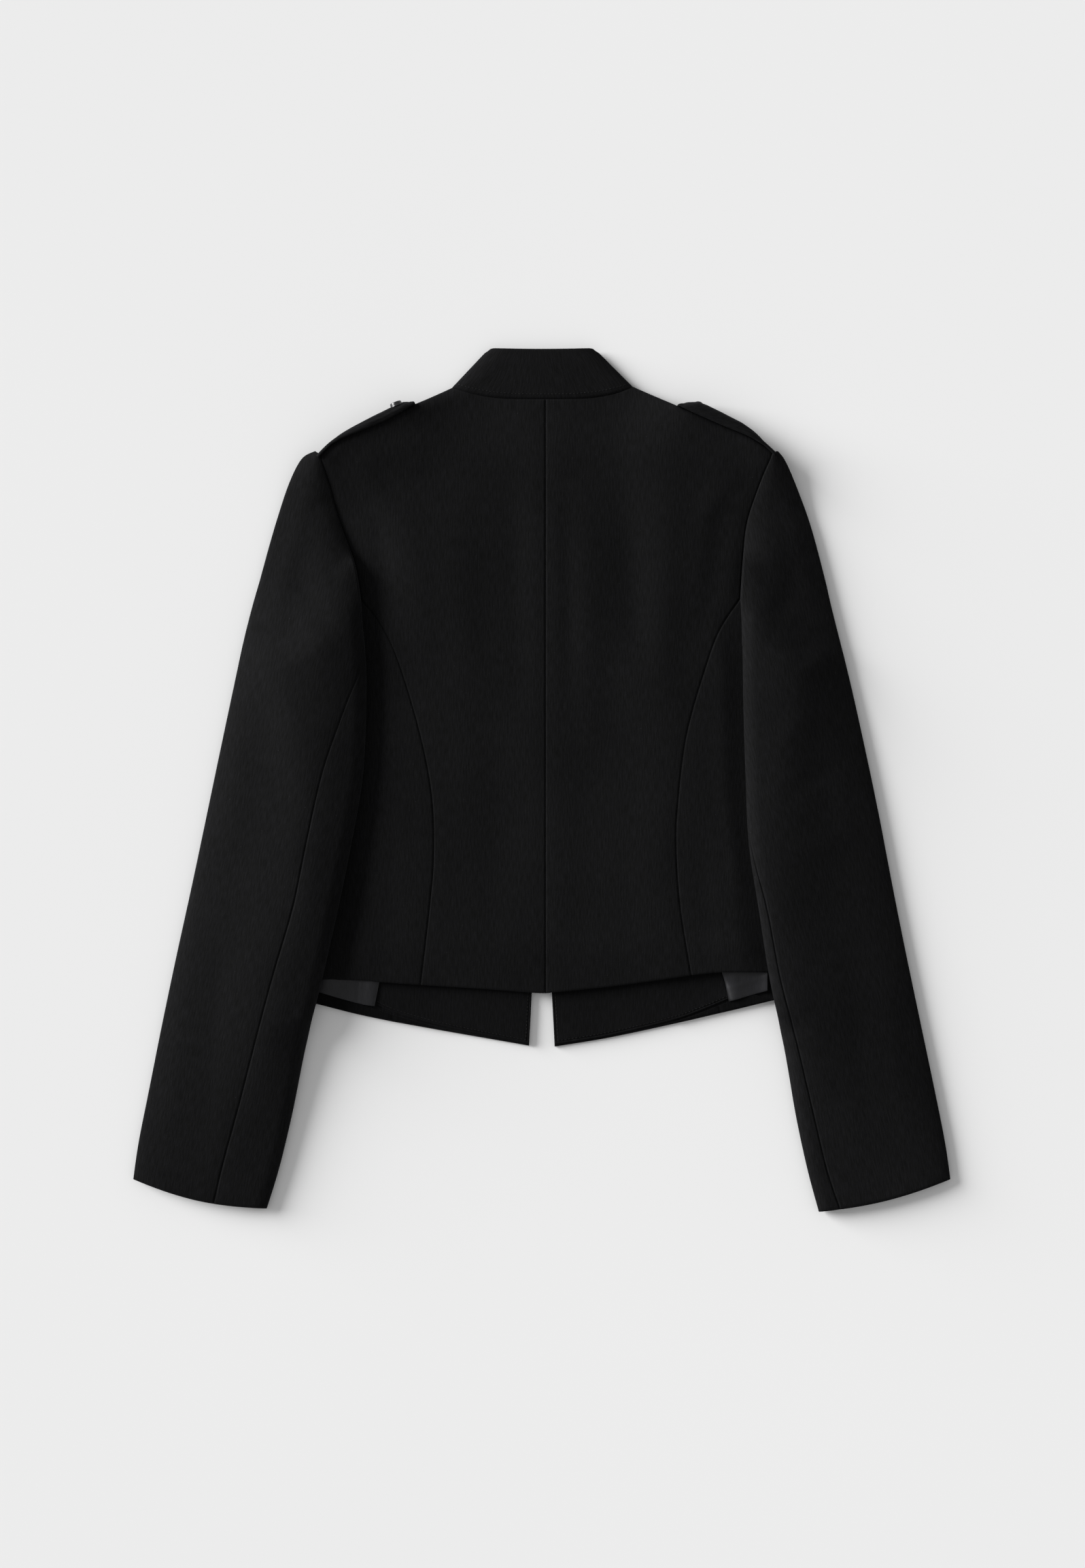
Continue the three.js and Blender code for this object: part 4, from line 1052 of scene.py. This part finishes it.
def sleeve_fall(side, rows, folds):
    """The cloth between a sleeve's raised inner edge and the body near the underarm: a wall that
    follows the armhole, from the body's upper side up into the sleeve's wall."""
    near = slice(FALL_STARTS, ROWS_ARMHOLE + FALL_ENDS)
    part = {key: values[near] for key, values in rows.items()}
    turn = np.ones((len(part["down"]), 1))
    high = sleeve_points(side, part, turn, WALL / 2, folds)[..., 2] - SEAM_CLEARANCE
    line = sleeve_points(side, part, turn, 0.0, folds)[:, 0, :2]
    ahead = unit(np.gradient(line, axis=0))
    away = np.stack([ahead[:, 1], -ahead[:, 0]], -1)
    away = away * np.where(away[:, :1] * side["sign"] < 0, -1, 1)
    low = np.minimum((lift(line) + body_height(line) - FALL_SUNK)[:, None], high - 0.3)
    z = low + (high - low) * even(FALL_ROWS)[None, :]
    flat = np.repeat(line[:, None], FALL_ROWS + 1, axis=1) + away[:, None] * SEAM_CLEARANCE
    step = away[:, None] * FALL_WALL
    grain = np.stack(np.broadcast_arrays(z, travelled(line)[:, None]), -1) / 1000
    added(wall_piece(f"sleeve_fall_{side['name']}_cloth", stack(flat, z), stack(flat + step, z),
                     SUITING, grain))


# Ridges and troughs on the upper side of each sleeve: the bend at the elbow, drags from the
# armhole and soft lengthwise folds.
SLEEVE_FOLDS = {
    "left": [[-190, 250, -225, 120, 8, 0.8], [-208, 190, -160, 90, 9, -0.7],
             [-225, 60, -165, 20, 12, 0.9], [-250, 20, -185, -20, 8, -0.9],
             [-262, -40, -190, -62, 11, 0.8], [-240, 100, -262, -60, 13, 0.7],
             [-290, -120, -310, -300, 12, 0.7], [-262, -130, -278, -310, 9, -0.5]],
    "right": [[198, 250, 226, 130, 8, 0.8], [214, 190, 180, 90, 9, -0.7],
              [232, 60, 182, 20, 12, 0.9], [252, 20, 192, -20, 8, -0.9],
              [264, -40, 200, -62, 11, 0.8], [232, 100, 254, -60, 13, 0.7],
              [276, -120, 302, -300, 12, 0.7], [250, -130, 272, -310, 9, -0.5]],
}
for side in SIDES:
    rows = sleeve_rows(side)
    width = np.linalg.norm(rows["inner"] - rows["outer"], axis=1)
    gap = SEAM_CLEARANCE / width
    folds = SLEEVE_FOLDS[side["name"]]
    piece = sleeve_panel(f"top_sleeve_{side['name']}_cloth", side, rows,
                         -turn_at(rows["front_seam"] - gap), turn_at(rows["back_seam"] - gap),
                         TOP_SLEEVE_COLUMNS, folds)
    declare(piece, f"top_sleeve_{side['name']}")
    sleeve_fall(side, rows, folds)
    arm = {key: values[ROWS_ARMHOLE + 1:] for key, values in rows.items()}
    gap = gap[ROWS_ARMHOLE + 1:]
    piece = sleeve_panel(f"under_sleeve_{side['name']}_cloth", side, arm,
                         turn_at(arm["back_seam"] + gap), 2 - turn_at(arm["front_seam"] + gap),
                         UNDER_SLEEVE_COLUMNS, folds)
    declare(piece, f"under_sleeve_{side['name']}")

# Shoulder straps: double suiting, sewn into the head of the sleeve and buttoned near the neck.
# Each rolls round the shoulder edge and laps over the back; the rest lies beneath the front.

# Share along the strap from its root, reach past the shoulder, lap over the back, and width.
STRAP_ROWS = {
    "left": [[0, 1, 0.3, 38], [0.24, 2.4, 2.0, 37], [0.46, 3.0, 3.9, 35], [0.67, 3.9, 4.4, 31],
             [0.83, 5.0, 2.8, 26], [0.9, 5.2, 1.8, 22], [1, 2.4, 0.3, 15]],
    "right": [[0, 1.3, 0, 38], [0.16, 4.5, 0.2, 37], [0.37, 8.4, 0.3, 36], [0.57, 9.8, 0.3, 33],
              [0.74, 10.4, 0.3, 29], [0.83, 9.9, 0.3, 25], [0.92, 6.2, 0.2, 20], [1, 1.5, 0, 14]],
}
STRAP_TIP = {"left": 0.27, "right": 0.313}  # share of the shoulder seam from the neck
STRAP_WALL, STRAP_ROOT, STRAP_SEAT = 2.2, 0.985, 0.6
STRAP_ROLL, STRAP_HALF = 3.0, 4.3  # half width and half height of its roll round the shoulder
STRAP_TUCK, TUCK_SHARE = 4.5, 0.1  # how far the root runs on under the sleeve's head
STRAP_EDGE, STRAP_EDGE_REACH, STRAP_GROOVE, GROOVE_HALF = 1.05, 1.1, 0.35, 0.7
# Its length past the sleeve's head and in all, and its stitches' distance from the edge.
STRAP_LENGTH, STRAP_GRAIN, STRAP_STITCHES = 90.0, 110.0, 4.2


def strap_points(side, share, arc, depth):
    """Points of a strap at a share of its length from the root, an arc from its front edge to its
    back edge as a share of its width, and a depth out from its inner face. It lies beneath the
    shoulder, rolls round the shoulder's edge along half an ellipse, and laps over the back."""
    reach, lap, width = (looked_up(STRAP_ROWS[side["name"]], share, k) for k in (1, 2, 3))
    at = mix(STRAP_ROOT, STRAP_TIP[side["name"]], share)
    seam = spline(side["shoulder"], at.ravel()).reshape(*at.shape, 2)
    ahead = spline(side["shoulder"], at.ravel() + 0.01).reshape(*at.shape, 2)
    tangent = unit(ahead - seam)
    outward = np.stack([tangent[..., 1], -tangent[..., 0]], -1)
    outward = outward * np.where(outward[..., 1:] < 0, -1, 1)
    seam = seam + tangent * STRAP_TUCK * (1 - smooth(share / TUCK_SHARE))[..., None]
    roll = np.clip(reach + lap - STRAP_WALL, 0.8, STRAP_ROLL)
    centre = reach - STRAP_WALL - roll
    over = np.maximum(centre + lap, 0)
    half_turn = np.pi * np.sqrt((roll**2 + STRAP_HALF**2) / 2)
    back = (1 - arc) * width
    turn = np.clip((back - over) / half_turn, 0, 1) * np.pi
    flat = np.maximum(over - back, 0) + np.maximum(back - over - half_turn, 0)
    normal = unit(np.stack([np.sin(turn) / roll, np.cos(turn) / STRAP_HALF], -1))
    out = centre + roll * np.sin(turn) - flat
    base = lift(seam + outward * np.minimum(out, 0)[..., None]) - STRAP_SEAT
    z = base + STRAP_HALF * (1 + np.cos(turn)) + depth * normal[..., 1]
    return stack(seam + outward * (out + depth * normal[..., 0])[..., None], z)


for side in SIDES:
    share, arc = np.meshgrid(both_ends(90), 1 - (1 - even(72)) ** 1.7, indexing="ij")
    width = looked_up(STRAP_ROWS[side["name"]], share, 3)
    to_edge = np.minimum(np.minimum(1 - arc, arc) * width, (1 - share) * STRAP_LENGTH)
    # Its edges are rounded, with a groove along its row of stitching.
    edge = STRAP_EDGE * (1 - rounding(to_edge, STRAP_EDGE_REACH))
    groove = STRAP_GROOVE * bell(to_edge - STRAP_STITCHES, GROOVE_HALF)
    outer = strap_points(side, share, arc, STRAP_WALL - edge - groove)
    inner = strap_points(side, share, arc, edge)
    grain = np.stack([arc * width, share * STRAP_GRAIN], -1) / 1000
    piece = wall_piece(f"shoulder_strap_{side['name']}_cloth", outer, inner, SUITING, grain)
    declare(piece, f"shoulder_strap_{side['name']}")

# The strap buttons: black resin, turned with a raised rim and a dished middle with four holes, and
# polished, so each shows one soft highlight.

# Share along the strap, and distance from its back edge.
BUTTON_PLACE = {"left": (0.83, 8.6), "right": (0.81, 15.8)}
BUTTON_RADIUS, BUTTON_HEIGHT, BUTTON_SUNK, BUTTON_STEPS = 5.4, 3.4, 1.2, 72
# As shares of the radius and the height: the rim's place and half width, and the thread holes.
RIM_AT, RIM_HALF, HOLE_DEPTH, HOLE_HALF = 0.78, 0.16, 0.5, 0.0866
# The same: the dish's height, and the bevel's start and fall outside the rim.
DISH, BEVEL_FROM, BEVEL, BUTTON_BACK = 0.62, 0.82, 0.75, 0.9
BUTTON_HOLES = ((0.2, 0.2), (-0.2, 0.2), (-0.2, -0.2), (0.2, -0.2))


def resin(name, colour):
    """Moulded polyester resin, polished: faintly clouded black with a clear highlight."""
    material, tree, shader = surface(name, {"IOR": 1.54})
    place = add_node(tree, "ShaderNodeTexCoord").outputs["Object"]
    cloud = add_node(tree, "ShaderNodeTexNoise", links={"Vector": place},
                     values={"Scale": 420.0, "Detail": 3.0}).outputs["Fac"]
    shade = add_node(tree, "ShaderNodeValToRGB", links={"Fac": cloud})
    dark, light = shade.color_ramp.elements
    dark.color, light.color = hex_colour(colour), hex_colour("#1c1c1f")
    tree.links.new(shade.outputs["Color"], shader.inputs["Base Color"])
    wear = add_node(tree, "ShaderNodeMapRange", links={"Value": cloud},
                    values={"To Min": 0.22, "To Max": 0.38})
    tree.links.new(wear.outputs["Result"], shader.inputs["Roughness"])
    return material


RESIN = resin("black_resin_button", "#0c0c0d")

for side in SIDES:
    share, inset = BUTTON_PLACE[side["name"]]
    width = looked_up(STRAP_ROWS[side["name"]], share, 3)
    at = np.array(share), np.array(1 - inset / width)
    seat = strap_points(side, *at, STRAP_WALL - BUTTON_SUNK)
    axis = unit(seat - strap_points(side, *at, 0.0))
    across = unit(np.cross(axis, [0, 0, 1]))
    up = np.cross(axis, across)
    # Height over the button's face, on rings from its middle to its rim: a dish with a raised rim,
    # less the four thread holes.
    steps = np.linspace(0, 2 * np.pi, BUTTON_STEPS + 1)[:-1]
    radius, angle = np.meshgrid(np.linspace(0.02, 1, 40), steps, indexing="ij")
    x, y = radius * np.cos(angle), radius * np.sin(angle)
    rim = bell(radius - RIM_AT, RIM_HALF)
    bevel = smooth((radius - BEVEL_FROM) / (1 - BEVEL_FROM)) ** 2 * (1 - 0.15 * rim)
    height = DISH + (1 - DISH) * rim - BEVEL * bevel
    for hole_x, hole_y in BUTTON_HOLES:
        height = height - HOLE_DEPTH * bell(np.hypot(x - hole_x, y - hole_y), HOLE_HALF)
    face = np.stack([x * BUTTON_RADIUS, y * BUTTON_RADIUS, height * BUTTON_HEIGHT], -1)
    back = (face * [BUTTON_BACK, BUTTON_BACK, 0])[::-1]
    rings = np.concatenate([face, back]).reshape(-1, 3)
    ids = np.arange(len(rings)).reshape(-1, BUTTON_STEPS)
    after = np.roll(ids, -1, axis=1)
    quads = np.stack([ids[:-1], ids[1:], after[1:], after[:-1]], -1).reshape(-1, 4)
    points = seat + rings @ np.stack([across, up, axis])
    caps = [ids[0].tolist(), ids[-1][::-1].tolist()]
    name = f"strap_button_{side['name']}_turned"
    piece = mesh_of(name, points, quads.tolist() + caps, RESIN)
    declare(piece, f"strap_button_{side['name']}")

# The floor, plain and pale.

FLOOR_HALF = 3000.0
FLOOR_BELOW = 0.2  # keeps it clear of the cloth that rests on it
corners = np.array([[-1, -1], [1, -1], [1, 1], [-1, 1]]) * FLOOR_HALF
floor_material, floor_tree, floor_shader = surface(
    "pale_painted_floor", {"Roughness": 0.9, "Specular IOR Level": 0.0})
floor_place = add_node(floor_tree, "ShaderNodeTexCoord").outputs["Object"]
floor_cloud = add_node(floor_tree, "ShaderNodeTexNoise", links={"Vector": floor_place},
                       values={"Scale": 1.2, "Detail": 2.0}).outputs["Fac"]
floor_shade = add_node(floor_tree, "ShaderNodeValToRGB", links={"Fac": floor_cloud})
for stop, tone in zip(floor_shade.color_ramp.elements, ("#e6e6e6", "#e9e9e9")):
    stop.color = hex_colour(tone)
floor_tree.links.new(floor_shade.outputs["Color"], floor_shader.inputs["Base Color"])
floor = mesh_of("floor", stack(corners, -FLOOR_BELOW), [[0, 1, 2, 3]], floor_material)

# Soft studio light: even light all round, and a wide soft source low on the photo's left and a
# little above it.

world = bpy.data.worlds.new("studio")
world.use_nodes = True
world.node_tree.nodes["Background"].inputs["Color"].default_value = (1.0, 1.0, 1.0, 1.0)
world.node_tree.nodes["Background"].inputs["Strength"].default_value = 0.44
bpy.context.scene.world = world


def soft_sun(name, azimuth, elevation, angle, energy):
    """A lamp without a place: azimuth in degrees from +X towards +Y, elevation above the floor."""
    light = bpy.data.lights.new(name, "SUN")
    light.energy = energy
    light.angle = np.radians(angle)
    lamp = bpy.data.objects.new(name, light)
    lamp.rotation_euler = (np.radians(90 - elevation), 0, np.radians(90 + azimuth))
    bpy.context.collection.objects.link(lamp)


soft_sun("softbox_left", azimuth=158, elevation=16, angle=34, energy=6.9)
bpy.context.scene.view_settings.view_transform = "Standard"

# The camera: straight overhead and far away, so nothing leans.

CAMERA_HEIGHT = 3000.0
VIEW_LEVEL = 9.0  # the plan was measured at about this height
VIEW_CENTRE = np.array([0.56, -2.8])
VIEW_TALL = 1291.4
camera_data = bpy.data.cameras.new("overhead")
camera_data.sensor_width = 36.0
camera_data.lens = 36.0 * (CAMERA_HEIGHT - VIEW_LEVEL) / VIEW_TALL
camera = bpy.data.objects.new("overhead", camera_data)
camera.location = (*((VIEW_CENTRE + PLACE[:2]) / 1000), CAMERA_HEIGHT / 1000)
bpy.context.collection.objects.link(camera)
bpy.context.scene.camera = camera
